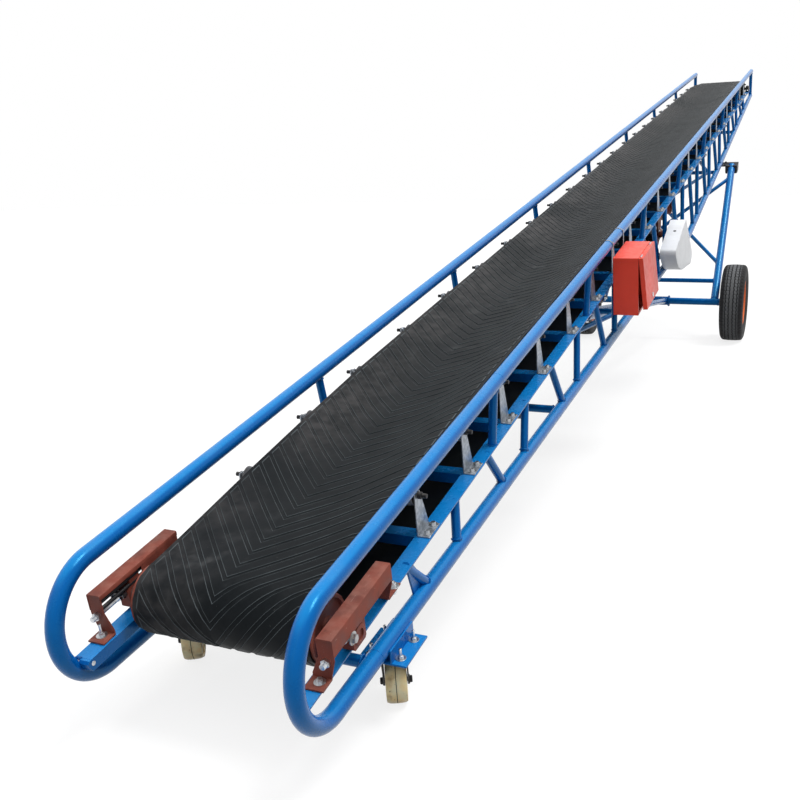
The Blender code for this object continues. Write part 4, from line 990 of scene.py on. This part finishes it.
def motor_skin():
    """Finned motor with its fan cowl, tie bolts, terminal box and foot, on the folded platform."""
    deck = chord_axes(MOTOR_S, 0, -LOW_TILT)
    reach, low, top = 0.3160, -0.022, -0.016
    shape = Shape("motor_platform_skin")
    shape.box(deck, (-0.095, 0.095), (-reach, reach), (low, top))
    for way in (-1, 1):
        shape.box(deck, pair(way, 0.095, 0.089), (0.014 - reach, reach - 0.014), (low - 0.030, low + 0.001))
    for sign in (-1, 1):
        shape.seam(*(deck @ Vector((x, sign * (reach - 0.003), top + 0.0005)) for x in (-0.09, 0.09)),
                   0.0026)
    shape.make("truss", [DARK_BLUE, WELD], ["motor_platform"], "blue_paint", bevel=0.0008)

    place = axes(ALONG, SQUARE, -ACROSS, at(MOTOR_S, MOTOR_Y, MOTOR_N))
    shape = Shape("drive_motor_skin")
    r, long, quarters = MOTOR_R, 0.250, [pi / 4 + pi / 2 * k for k in range(4)]
    cowl = [(0, 0.002), (0.012, 0.002)]
    for ring in (0.016 + k * 0.008 for k in range(6)):
        cowl += [(ring, 0.002), (ring + 0.001, 0.0045), (ring + 0.003, 0.0045), (ring + 0.004, 0.002)]
    cowl += [(r * 0.86, 0.001), (r * 0.92, 0.006), (r * 0.94, 0.014), (r * 0.94, 0.055), (r * 0.90, 0.0565),
             (r * 0.90, 0.062), (r * 0.80, 0.062), (r * 0.80, long - 0.040), (r * 0.98, long - 0.040),
             (r * 0.98, long - 0.028), (r * 0.80, long - 0.012), (r * 0.42, long - 0.006), (r * 0.35, long),
             (0, long)]
    shape.lathe(place, cowl, 48)
    for a in (2 * pi * k / 40 for k in range(40)):
        if abs(a - 3 * pi / 2) >= 0.55:
            shape.box(place @ spin(a), (r * 0.78, r * 0.995), (-0.0014, 0.0014), (0.066, long - 0.044))
    for a in quarters:
        shape.bolt(place @ shift(r * 0.90 * cos(a), r * 0.90 * sin(a), long - 0.028), 0.011, 1)
        ear = place @ shift(r * 0.88 * cos(a), r * 0.88 * sin(a))
        shape.disc(ear, 0, 0.009, long - 0.056, long - 0.0285, 16)
        shape.bolt(place @ spin(a) @ spin(pi / 2, "Y") @ shift(-0.040, 0, r * 0.937), 0.008, 1)
    shaft = at(MOTOR_S, MOTOR_Y - long + 0.002, MOTOR_N)
    shape.rod(shaft, at(MOTOR_S, PULLEY_Y + 0.001, MOTOR_N), 0.0135, 20, 2)
    sheave(shape, MOTOR_S, MOTOR_N, 0.045)
    rise = MOTOR_N - chord_n(MOTOR_S)
    shape.box(deck, (-0.075, 0.075), (-0.245, -0.130), (top + 0.0004, top + 0.0124))
    for way in (-1, 1):
        shape.box(deck, pair(way, 0.045, 0.036), (-0.235, -0.140), (top + 0.001, rise - r * 0.62))
        for y in (-0.222, -0.153):
            shape.bolt(deck @ shift(way * 0.062, y, top + 0.0124), 0.014, 1, 0.004)
            shape.hexagon(deck @ shift(way * 0.062, y, low) @ spin(pi, "X"), 0.014, 0, 0.011, 1)
    lid, level = MOTOR_N + r, bed(MOTOR_S, 0, 0)
    shape.box(level, (-0.039, 0.039), (-0.212, -0.133), (MOTOR_N + r * 0.72, lid + 0.020))
    shape.box(level, (-0.042, 0.042), (-0.215, -0.130), (lid + 0.0205, lid + 0.0275))
    for x in (-0.034, 0.034):
        for y in (-0.207, -0.138):
            shape.bolt(bed(MOTOR_S + x, y, lid + 0.0262), 0.006, 1)
    gland = aim(at(MOTOR_S - 0.038, -0.172, lid), at(MOTOR_S - 1, -0.172, lid))
    nut = ((0, 0), (0.012, 0), (0.012, 0.010), (0.009, 0.012), (0.009, 0.020), (0.0055, 0.023), (0, 0.023))
    shape.lathe(gland, nut, 20)
    shape.make("truss", [MOTOR, ZINC, STEEL], ["drive_motor"], "black_steel")


# Guard over the drive belts
GUARD_FACE = ((4.985, -0.086), (5.014, -0.092), (5.330, -0.383), (5.345, -0.430), (5.290, -0.468),
              (4.820, -0.388), (4.690, -0.338), (4.588, -0.262), (4.545, -0.212), (4.552, -0.182))


def guard_skin():
    """Sheet guard folded from one strip and a face plate, open toward the frame."""
    inner, outer, wall = -0.3594, -0.4594, 0.003
    face = [Vector(p) for p in GUARD_FACE]
    rounded = []
    for k, corner in enumerate(face):
        before, after = face[k - 1] - corner, face[(k + 1) % len(face)] - corner
        cut = min(0.060, before.length * 0.48, after.length * 0.48)
        a, b = corner + before.normalized() * cut, corner + after.normalized() * cut
        for t in (0.0, 0.25, 0.5, 0.75, 1.0):
            rounded.append(a * (1 - t) ** 2 + corner * 2 * t * (1 - t) + b * t * t)
    count = len(rounded)
    middle = sum(rounded, Vector((0, 0))) / count
    rows = []
    rings = ((inner, 0.0), (outer + 0.0012, 0.0), (outer + 0.0003, 0.0004), (outer, 0.0014), (outer, 0.012),
             (outer + wall, 0.012), (outer + wall, wall), (inner, wall))
    for y, inset in rings:
        row = []
        for k, corner in enumerate(rounded):
            run = (rounded[(k + 1) % count] - rounded[k - 1]).normalized()
            side = Vector((-run.y, run.x))
            p = corner + side * (inset if side.dot(middle - corner) > 0 else -inset)
            row.append(at(p.x, y, p.y))
        rows.append(row)
    shape = Shape("belt_guard_skin")
    for strip, step in ((rows[:5], 1), ([*rows[5:], rows[0]], -1)):
        shape.grid(strip)
        shape.add(rows[4 if step > 0 else 5], [tuple(range(count))[::step]])
    low, high = Vector(GUARD_FACE[-1]), Vector(GUARD_FACE[0])
    roof, spot = (high - low).normalized(), low.lerp(high, 0.62)
    normal = (SQUARE * roof.x - ALONG * roof.y).normalized()
    place = axes(ACROSS.cross(normal), ACROSS, normal, at(spot.x, -0.412, spot.y))
    grommet = ((0.0, 0.0004), (0.007, 0.0004), (0.008, 0.0009), (0.0095, 0.0006), (0.0095, -0.001))
    shape.lathe(place, grommet, 20, 1)
    for s, n in ((5.26, -0.40), (4.66, -0.25), (5.00, -0.13)):
        shape.box(bed(s, inner, n), (-0.012, 0.012), (-0.030, 0.0), (-0.002, 0.002))
    shape.make("truss", [WHITE, INSIDE], ["belt_guard"], "grey_sheet")


bracing_skin()
motor_skin()
guard_skin()


# Control box and its door
def control_box_skin():
    """Sheet box with folded rims and straps, and its door, which rides on the hinge."""
    shape = Shape("control_box_shell")
    s0, s1, back, front, low, high, t, lip = 3.08, 3.42, 0.3619, 0.4869, -0.130, 0.165, 0.003, 0.010
    place = axes(ALONG, SQUARE, -ACROSS, at(0, 0, 0))
    left, right, floor, roof = s0 + t, s1 - t, low + t, high - t
    modules = []
    for x in (s0 + 0.060 + k * 0.075 for k in range(3)):
        modules += [((x, x + 0.055), (0.010, 0.095), (back + 0.011, back + 0.062), 2),
                    ((x + 0.010, x + 0.045), (0.035, 0.070), (back + 0.060, back + 0.072), 3)]
    slabs = [((s0, s1), (low, high), (back, back + t), 0),
             ((s0, left), (low, high), (back, front), 0), ((right, s1), (low, high), (back, front), 0),
             ((s0 + 0.0002, s1 - 0.0002), (low, floor), (back, front), 0),
             ((s0 + 0.0002, s1 - 0.0002), (roof, high), (back, front), 0),
             *((x, n, (front - 0.0012, front), 0) for x, n in (
                 ((left, left + lip), (floor, roof)), ((right - lip, right), (floor, roof)),
                 ((left, right), (floor, floor + lip)), ((left, right), (roof - lip, roof)))),
             ((s0 - 0.0012, s0), (high - 0.020, high + 0.0004), (back, front + 0.0004), 0),
             ((s0 + 0.030, s1 - 0.030), (low + 0.030, high - 0.030), (back + t + 0.006, back + t + 0.008),
              1),
             *modules, ((s0 + 0.050, s1 - 0.050), (-0.075, -0.045), (back + 0.011, back + 0.036), 1)]
    for x, n, z, kind in slabs:
        shape.box(place, x, n, z, kind)
    gland = ((0, -0.004), (0.014, -0.004), (0.014, 0.008), (0.010, 0.011), (0.010, 0.018), (0, 0.018))
    shape.lathe(below(3.25, -0.425, low), gland, 24, 2)
    shape.make("truss", [ORANGE, GALV, BLACK, WHITE], ["control_box"], "orange_paint", bevel=0.0009)
    straps = Shape("control_box_straps")
    for s in (3.092, 3.350):
        straps.box(place, (s, s + 0.012), (0.065, 0.2425), (0.3594, 0.3624))
        for n in (0.100, 0.140):
            straps.bolt(axes(ALONG, SQUARE, -ACROSS, at(s + 0.006, -0.3649, n)), 0.007)
        rows = []
        for a in (pi * k / 10 for k in range(8)):
            p = at(s + 0.006, -0.335 - 0.0262 * cos(a), 0.225 + 0.0262 * sin(a))
            out = -ACROSS * cos(a) + SQUARE * sin(a)
            section = ((-0.006, 0), (0.006, 0), (0.006, -0.0018), (-0.006, -0.0018))
            rows.append([p + ALONG * x + out * z for x, z in section])
        straps.grid(rows, caps=True)
    straps.make("truss", [GALV])

    hinge = bed(s0, -0.4875, 0.163) @ spin(radians(-5), "X")
    inner = hinge @ spin(pi / 2, "X")
    leaf = Shape("control_box_door_leaf")
    wide, tall = (0.001, 0.339), (-0.263, 0.0)
    for x, y, z, kind in ((wide, tall, (0.019, 0.022), 0),
                          ((0.001, 0.004), tall, (0.0, 0.0215), 0),
                          ((0.336, 0.339), tall, (0.0, 0.0215), 0),
                          (wide, (-0.263, -0.260), (0.0, 0.0215), 0),
                          (wide, (-0.003, 0.0), (0.0, 0.0215), 0),
                          ((0.008, 0.332), (-0.2565, -0.0065), (0.0165, 0.0192), 2)):
        leaf.box(inner, x, y, z, kind)
    leaf.make("door", [DOOR, ZINC, BLACK], ["control_box_door"], "orange_paint", bevel=0.0012)
    latch = Shape("door_latch")
    knob = ((0, -0.001), (0.013, -0.001), (0.013, 0.002), (0.010, 0.004), (0.004, 0.0042), (0.003, 0.003),
            (0, 0.003))
    latch.lathe(inner @ shift(0.170, -0.236, 0.0215), knob, 28)
    latch.box(inner, (0.164, 0.176), (-0.248, -0.224), (0.004, 0.017))
    knuckle = ((0, 0), (0.0040, 0), (0.0042, 0.001), (0.0042, 0.043), (0.0040, 0.044), (0, 0.044))
    for x in (0.023, 0.273):
        latch.lathe(inner @ shift(x, 0.0, 0.0065) @ spin(pi / 2, "Y"), knuckle, 16)
    latch.make("door", [ZINC])


# Undercarriage and road wheels
WHEEL_R, WHEEL_Y = 0.325, 0.644
AXLE = Vector((1.13998, 0, WHEEL_R))
LEG_S = 8.40


def undercarriage_skin():
    """Axle beam with its sleeve, legs, braces and drawbars, welded up from tube."""
    shape = Shape("undercarriage_tubes")

    def on_axle(y):
        return AXLE + ACROSS * y

    shape.rod(on_axle(-0.512), on_axle(0.512), 0.029, 32)
    for sign in (-1, 1):
        end = aim(on_axle(sign * 0.512), on_axle(sign))
        shape.rod(on_axle(sign * 0.500), on_axle(sign * 0.699), 0.019, 24, 2)
        shape.lathe(end, ((0.019, -0.001), (0.031, -0.001), (0.031, 0.012), (0.019, 0.014)), 32)
        shape.bead(end, 0.0295, 0.003)
    flange = ((0.046, 0), (0.047, 0.001), (0.047, 0.011), (0.046, 0.012))
    sleeve = [(0.029, 0), *flange, (0.037, 0.012)]
    sleeve += [(0.037, 0.200), *((r, z + 0.200) for r, z in flange), (0.029, 0.212)]
    shape.lathe(aim(on_axle(-0.106), on_axle(0.106)), sleeve, 36, 3)
    for y in (-0.092, 0.092):
        shape.bead(aim(on_axle(y), on_axle(y + 0.1)), 0.0375, 0.0026, 3)
    legs = {}
    for sign in (-1, 1):
        top = chord_axes(LEG_S, sign * 0.440, CHORD_TILT) @ Vector((0, 0, -0.0312))
        foot = on_axle(sign * 0.482)
        legs[sign] = (foot, top)
        shape.rod(foot, top - (top - foot).normalized() * 0.018, 0.033, 28)
        shape.bead(aim(foot, top) @ shift(z=0.029), 0.0332, 0.0042, sides=32)
    braces = ((1, 0.25, 0.895, 0.017, 20, 0.034), (-1, 0.25, 0.895, 0.0165, 20, 0.034),
              (1, 0.138, 0.138, 0.019, 22, 0.032))
    for way, low, high, radius, sides, fillet in braces:
        a, b = legs[-way][0].lerp(legs[-way][1], low), legs[way][0].lerp(legs[way][1], high)
        shape.rod(a, b, radius, sides)
        for p, q in ((a, b), (b, a)):
            shape.bead(aim(p, q) @ shift(z=fillet), radius, 0.0034)
    s = 3.70
    clamp_n = chord_n(s) - 0.017 - 0.0004
    for y in (-0.070, 0.070):
        a, b = on_axle(y), at(s, y, clamp_n - 0.020)
        shape.rod(a, b, 0.022, 24)
        shape.bead(aim(a, b) @ shift(z=0.037), 0.0222, 0.0036)
        for z in ((-0.032, -0.026), (-0.006, -0.0002)):
            shape.box(bed(s, y, clamp_n), (-0.045, 0.045), (-0.030, 0.030), z)
        for x in (-0.036, 0.036):
            for side_y in (y - 0.020, y + 0.020):
                shape.rod(*(at(s + x, side_y, clamp_n - z) for z in (0.036, 0.004)), 0.005, 12, 2)
                shape.hexagon(below(s + x, side_y, clamp_n - 0.032), 0.015, 0.0, 0.009, 2)
        shape.bead(aim(b, a) @ shift(z=0.004), 0.0222, 0.0036)
    shape.make("truss", [BLUE, WELD, ZINC, DARK_BLUE], ["undercarriage"], "blue_paint")

    turn = chord_axes(LEG_S, 0, CHORD_TILT)
    slope = ((-0.075, -0.0250), (0.075, -0.0250), (0.075, -0.075), (0.058, -0.0994), (-0.058, -0.0994),
             (-0.075, -0.075))
    for side, sign in SIDES.items():
        shape = Shape(f"leg_cap_skin_{side}")
        shape.box(turn, (-0.075, 0.075), pair(sign, 0.315, 0.495), (-0.0304, -0.0244))
        for a, b in ((0.495, 0.489), (0.385, 0.391)):
            shape.prism(turn @ spin(pi / 2, "X"), slope, *pair(-sign, a, b))
        shape.box(turn, (-0.075, -0.069), pair(sign, 0.490, 0.390), (-0.0994, -0.0250))
        for x in (-0.056, 0.056):
            shape.bolt(turn @ shift(x, sign * 0.378, -0.0244), 0.015)
        shape.make("truss", [BLACK, ZINC], [f"leg_cap_{side}"], "black_steel", bevel=0.001)


def road_wheel_skin(side):
    """Pressed rim with hand holes and nuts, and a highway tyre with grooves and sipes."""
    sign = SIDES[side]
    hub = AXLE + ACROSS * (sign * WHEEL_Y)
    place = axes(Vector((0, 0, 1)), Vector((sign, 0, 0)), Vector((0, sign, 0)), hub)
    big, w, r = WHEEL_R, 0.095, 0.195
    rim_skin(side, place, r, w)
    tyre = Shape(f"tyre_skin_{side}")
    grooves, lip, deep, steps = (-0.044, -0.016, 0.016, 0.044), 0.0046, 0.0075, 360
    stations = [-0.0625, *(g + z for g in grooves for z in (-lip, -0.0030, 0.0030, lip)), 0.0625]
    wall = [(r, w * 0.68), (r + 0.004, w * 0.80), (r + 0.013, w * 0.86), (r + 0.030, w * 0.93),
            (r + 0.055, w * 0.992),
            (r + 0.0735, w * 0.992), (r + 0.075, w), (r + 0.079, w), (r + 0.0805, w * 0.988),
            (big - 0.032, w * 0.968), (big - 0.020, w * 0.915)]
    rows = []
    for k in range(steps):
        a = 2 * pi * k / steps
        notch = 0.0 if k % 6 < 4 else 0.006
        half = [*wall, (big - 0.010 - notch, w * 0.835), (big - 0.0045 - notch, w * 0.74)]
        row = [(rr, -z) for rr, z in half]
        for number, z in enumerate(stations):
            crown = big - 0.0035 * (z / 0.0625) ** 2
            sipe = 0.0045 if k % 6 == 0 and abs(z) >= 0.012 else 0.0
            if any(abs(z - g) < 0.0035 for g in grooves):
                sipe = deep
            zig = 0.0022 * (1 if (k // 3) % 2 else -1) if 0 < number < len(stations) - 1 else 0.0
            row.append((crown - sipe, z + zig))
        row += half[::-1]
        rows.append([place @ Vector((rr * cos(a), rr * sin(a), z)) for rr, z in row])
    tyre.grid(rows, loop=True)
    piece = tyre.make(f"wheel_{side}", [TYRE], [f"tyre_{side}"], "tyre_rubber", smooth=30)
    # The groove lips are marked so that the tyre material paints a reflection on them.
    lips = [len(half) + k for k, z in enumerate(stations)
            if any(abs(abs(z - g) - lip) < 1e-6 for g in grooves)]
    mark_edge_paint_and_painted_light(piece, [1.0 if k % len(rows[0]) in lips else 0.0 for k in range(len(piece.data.vertices))])


def rim_skin(side, place, r, w):
    """Rim of seat radius r and width 2 w, with its hub cap, wheel nuts and valve."""
    shape = Shape(f"rim_skin_{side}")
    dish = ((0.0196, 0.0125), (0.040, 0.0125), (0.052, 0.020), (0.078, 0.024), (0.094, 0.033),
            (0.118, 0.038), (0.140, 0.0385), (0.160, 0.036), (0.178, 0.028), (r - 0.008, 0.024))
    lip = ((r - 0.008, w * 0.68), (r - 0.004, w * 0.76), (r + 0.004, w * 0.825), (r + 0.008, w * 0.82),
           (r + 0.0085, w * 0.78), (r - 0.0005, w * 0.73))
    profile = [*dish, *lip, *((rr, -z) for rr, z in lip[::-1]), *((rr, z - 0.006) for rr, z in dish[::-1])]
    holes, steps, first, last, wide = 8, 96, 5, 7, len(profile)
    points = []
    for k in range(steps):
        a = 2 * pi * k / steps
        points += [place @ Vector((rr * cos(a), rr * sin(a), z)) for rr, z in profile]
    is_hole = [k % (steps // holes) in (4, 5, 6, 7) for k in range(steps)]
    back_last, back_first = wide - 1 - last, wide - 1 - first
    faces = []
    for i in range(steps):
        i2 = (i + 1) % steps
        here, ahead = i * wide, i2 * wide
        for j in range(wide):
            if not (is_hole[i] and (first <= j < last or back_last <= j < back_first)):
                j2 = (j + 1) % wide
                faces.append((here + j, here + j2, ahead + j2, ahead + j))
        if is_hole[i]:
            faces.append((ahead + first, ahead + back_first, here + back_first, here + first))
            faces.append((here + last, here + back_last, ahead + back_last, ahead + last))
            for edge, cell in ((here, is_hole[i - 1]), (ahead, is_hole[i2])):
                if not cell:
                    faces += [(edge + q, edge + q + 1, edge + wide - 2 - q, edge + wide - 1 - q)
                              for q in range(first, last)]
    shape.add(points, faces)
    hub = ((0.0196, -0.052), (0.040, -0.052), (0.040, 0.008), (0.040, 0.046), (0.036, 0.050),
           (0.0196, 0.050))
    shape.lathe(place, hub, 40)
    cap = ((0, 0.0505), (0.031, 0.0505), (0.033, 0.052), (0.033, 0.060), (0.028, 0.068), (0, 0.070))
    shape.lathe(place, cap, 32, 2)
    for a in (2 * pi * k / 6 + 0.26 for k in range(6)):
        spot = place @ shift(0.062 * cos(a), 0.062 * sin(a), 0.0205)
        shape.lathe(spot, ((0, 0), (0.013, 0), (0.012, 0.004), (0, 0.004)), 20, 1)
        shape.hexagon(spot, 0.019, 0.003, 0.017, 1)
        shape.lathe(spot, ((0, 0.01), (0.0055, 0.01), (0.0055, 0.022), (0.0045, 0.0235), (0, 0.0235)), 12,
                    1)
    valve = ((0, 0), (0.006, 0), (0.0055, 0.016), (0.004, 0.018), (0.004, 0.030), (0, 0.031))
    shape.lathe(place @ shift(0.172, 0.0, 0.030) @ spin(radians(20), "Y"), valve, 14, 2)
    shape.make(f"wheel_{side}", [RIM, ZINC, BLACK], [f"rim_{side}"], "orange_paint")


# Casters
def caster_skin(side):
    """Welded mount on the chord with its four bolts, swivel fork and nylon wheel."""
    sign = SIDES[side]
    turn = chord_axes(0.32, sign * HALF, -LOW_TILT)
    shape = Shape(f"caster_mount_skin_{side}")
    shape.box(turn, (-0.074, 0.074), (-0.070, 0.070), (-0.040, -0.034))
    for way in (-1, 1):
        shape.box(turn, (-0.074, 0.074), pair(way, 0.0244, 0.0294), (-0.0345, 0.004))
        for x in (-1, 1):
            shape.seam(*(turn @ Vector((x * end, way * 0.0243, 0.002)) for end in (0.070, 0.025)))
    shape.make("truss", [BLUE, WELD], [f"caster_mount_{side}"], "blue_paint", bevel=0.0012)
    plate = Shape(f"caster_plate_{side}")
    plate.box(turn, (-0.055, 0.055), (-0.052, 0.052), (-0.0465, -0.0402))
    plate.lathe(turn, ((0, -0.056), (0.026, -0.056), (0.030, -0.052), (0.030, -0.047), (0, -0.046)), 32)
    for x in (-0.044, 0.044):
        for y in (-0.042, 0.042):
            plate.bolt(turn @ shift(x, y, -0.034), 0.014, 1, 0.020)
            plate.hexagon(turn @ shift(x, y, -0.0465) @ spin(pi, "X"), 0.0135, 0, 0.007, 1)
    plate.make("truss", [BLACK, ZINC], bevel=0.001)

    swivel = turn @ shift(z=-0.057) @ spin(radians(30 if sign > 0 else 25))
    r, w, trail = 0.062, 0.0295, 0.028
    centre = Vector((-5.31033, 0.349, 0.06278)) if sign > 0 else Vector((-5.30918, -0.32317, 0.06267))
    hub = (swivel.inverted() @ centre).z
    fork = Shape(f"caster_fork_skin_{side}")
    race = ((0, 0), (0.030, 0), (0.034, -0.003), (0.034, -0.007), (0.012, -0.0072), (0, -0.0072))
    fork.lathe(swivel, race, 36)
    fork.box(swivel, (-0.028, 0.042), (-0.0355, 0.0355), (-0.009, -0.0045))
    foot = arc(0.014, -pi, 0, 10, (trail, hub))
    outline = [(-0.028, -0.0045), (-0.028, -0.018), (0.004, hub + 0.020), *foot, (0.042, -0.022),
               (0.042, -0.0045)]
    for way in (-1, 1):
        fork.prism(swivel @ spin(pi / 2, "X"), outline, *pair(way, 0.0315, 0.0355))
    fork.rod(*(swivel @ Vector((trail, y, hub)) for y in (-0.044, 0.044)), 0.0062, 16)
    for way in (-1, 1):
        pin = aim(*(swivel @ Vector((trail, way * y, hub)) for y in (0.0355, 0.0600)))
        fork.disc(pin, 0.006, 0.013, 0, 0.002, 24)
        fork.hexagon(pin, 0.018, 0.002, 0.009)
    fork.make(f"caster_swivel_{side}", [BLACK, ZINC], [f"caster_fork_{side}"], "black_steel", bevel=0.0008)

    pin = swivel.col[1].to_3d().normalized()
    up = (Vector((0, 0, 1)) - pin * pin.z).normalized()
    roll = Shape(f"caster_wheel_skin_{side}")
    tread = [(0.0076, -w), (0.020, -w), (0.022, -w * 0.97), (0.024, -w * 0.82), (0.050, -w * 0.80),
             (0.053, -w * 0.86),
             (0.055, -w * 0.98), (0.058, -w * 0.96), (r - 0.0012, -w * 0.72), (r - 0.0002, -w * 0.45),
             (r, -w * 0.10), (r, -0.0012), (r - 0.0009, 0.0), (r, 0.0012)]
    tread += [(rr, -z) for rr, z in tread[-3::-1]]
    roll.lathe(axes(up, pin.cross(up), pin, centre), tread, 56)
    for way in (-1, 1):
        face = aim(centre, centre + pin * way)
        for k in range(6):
            roll.box(face @ spin(pi / 3 * k), (0.021, 0.053), (-0.0022, 0.0022), (w * 0.70, w * 0.93))
        roll.disc(face, r - 0.004, r + 0.00005, 0.0, 0.0009, 56, 2)
        roll.disc(face, 0.0076, 0.013, w * 0.9, w * 1.03, 24, 1)
    roll.make(f"caster_roll_{side}", [NYLON, STEEL, INSIDE], [f"caster_wheel_{side}"], "cream_nylon")


control_box_skin()
undercarriage_skin()
for side in SIDES:
    road_wheel_skin(side)
    caster_skin(side)


# Camera, lights, floor and the white surround
def link(name, data, matrix=None):
    """Puts an object into the scene."""
    item = bpy.data.objects.new(name, data)
    bpy.context.scene.collection.objects.link(item)
    if matrix:
        item.matrix_world = matrix
    return item


def surround():
    """Camera, one soft sun, a bright surround and the pale floor."""
    scene = bpy.context.scene
    eye = Vector((-7.4534, -1.3119, 1.3878))
    look, right, down = (Vector(v) for v in ((0.88909, 0.40091, -0.22087), (0.40591, -0.91359, -0.02438),
                                             (-0.21156, -0.06798, -0.97500)))
    data = bpy.data.cameras.new("camera")
    data.lens, data.sensor_width = 42.57, 36.0
    data.shift_x, data.shift_y = 0.0043, -0.0018
    data.clip_start, data.clip_end = 0.05, 100
    scene.camera = link("camera", data, axes(right, -down, -look, eye))

    sun = bpy.data.lights.new("sun", "SUN")
    sun.energy, sun.angle = 1.6, radians(20)
    link("sun", sun, aim(Vector((0, 0, 6)), Vector((-0.15, 0.35, 5.1))) @ spin(pi, "X"))

    world = Tree(bpy.data.worlds.new("surround"))
    along = world.split(world.node("TexCoord").outputs["Generated"])
    sky = world.ramp(along["Z"], 0.0, 1.0, 0.20, 0.66, smooth=False)
    # A long bright strip overhead, along the machine, draws the pale line down its tubes.
    strip = world.ramp(world.math("ABSOLUTE", along["Y"]), 0.10, 0.42, 1.5, 0.0)
    above = world.ramp(along["Z"], 0.0, 0.30, smooth=False)
    glow = world.math("ADD", world.times(strip, above), sky)
    back = world.tree.nodes["Background"]
    world.put(back, "Color", (1, 1, 1, 1))
    world.put(back, "Strength", world.ramp(world.seen_directly(), 0.0, 1.0, glow, 1.0, smooth=False))
    scene.world = world.owner

    mesh = bpy.data.meshes.new("floor")
    mesh.from_pydata([(-60, -60, 0), (60, -60, 0), (60, 60, 0), (-60, 60, 0)], [], [(0, 1, 2, 3)])
    ground = link("floor", mesh)
    pale = Tree(bpy.data.materials.new("floor_pale"))
    glare = pale.times(pale.seen_directly(), 0.80)
    for socket, value in (("Base Color", (0.22, 0.22, 0.22, 1)), ("Roughness", 0.9),
                          ("Specular IOR Level", 0.1),
                          ("Emission Color", (1, 1, 1, 1)), ("Emission Strength", glare)):
        pale.put(pale.tree.nodes["Principled BSDF"], socket, value)
    mesh.materials.append(pale.owner)


surround()

view = bpy.context.scene.view_settings
view.view_transform = "Standard"
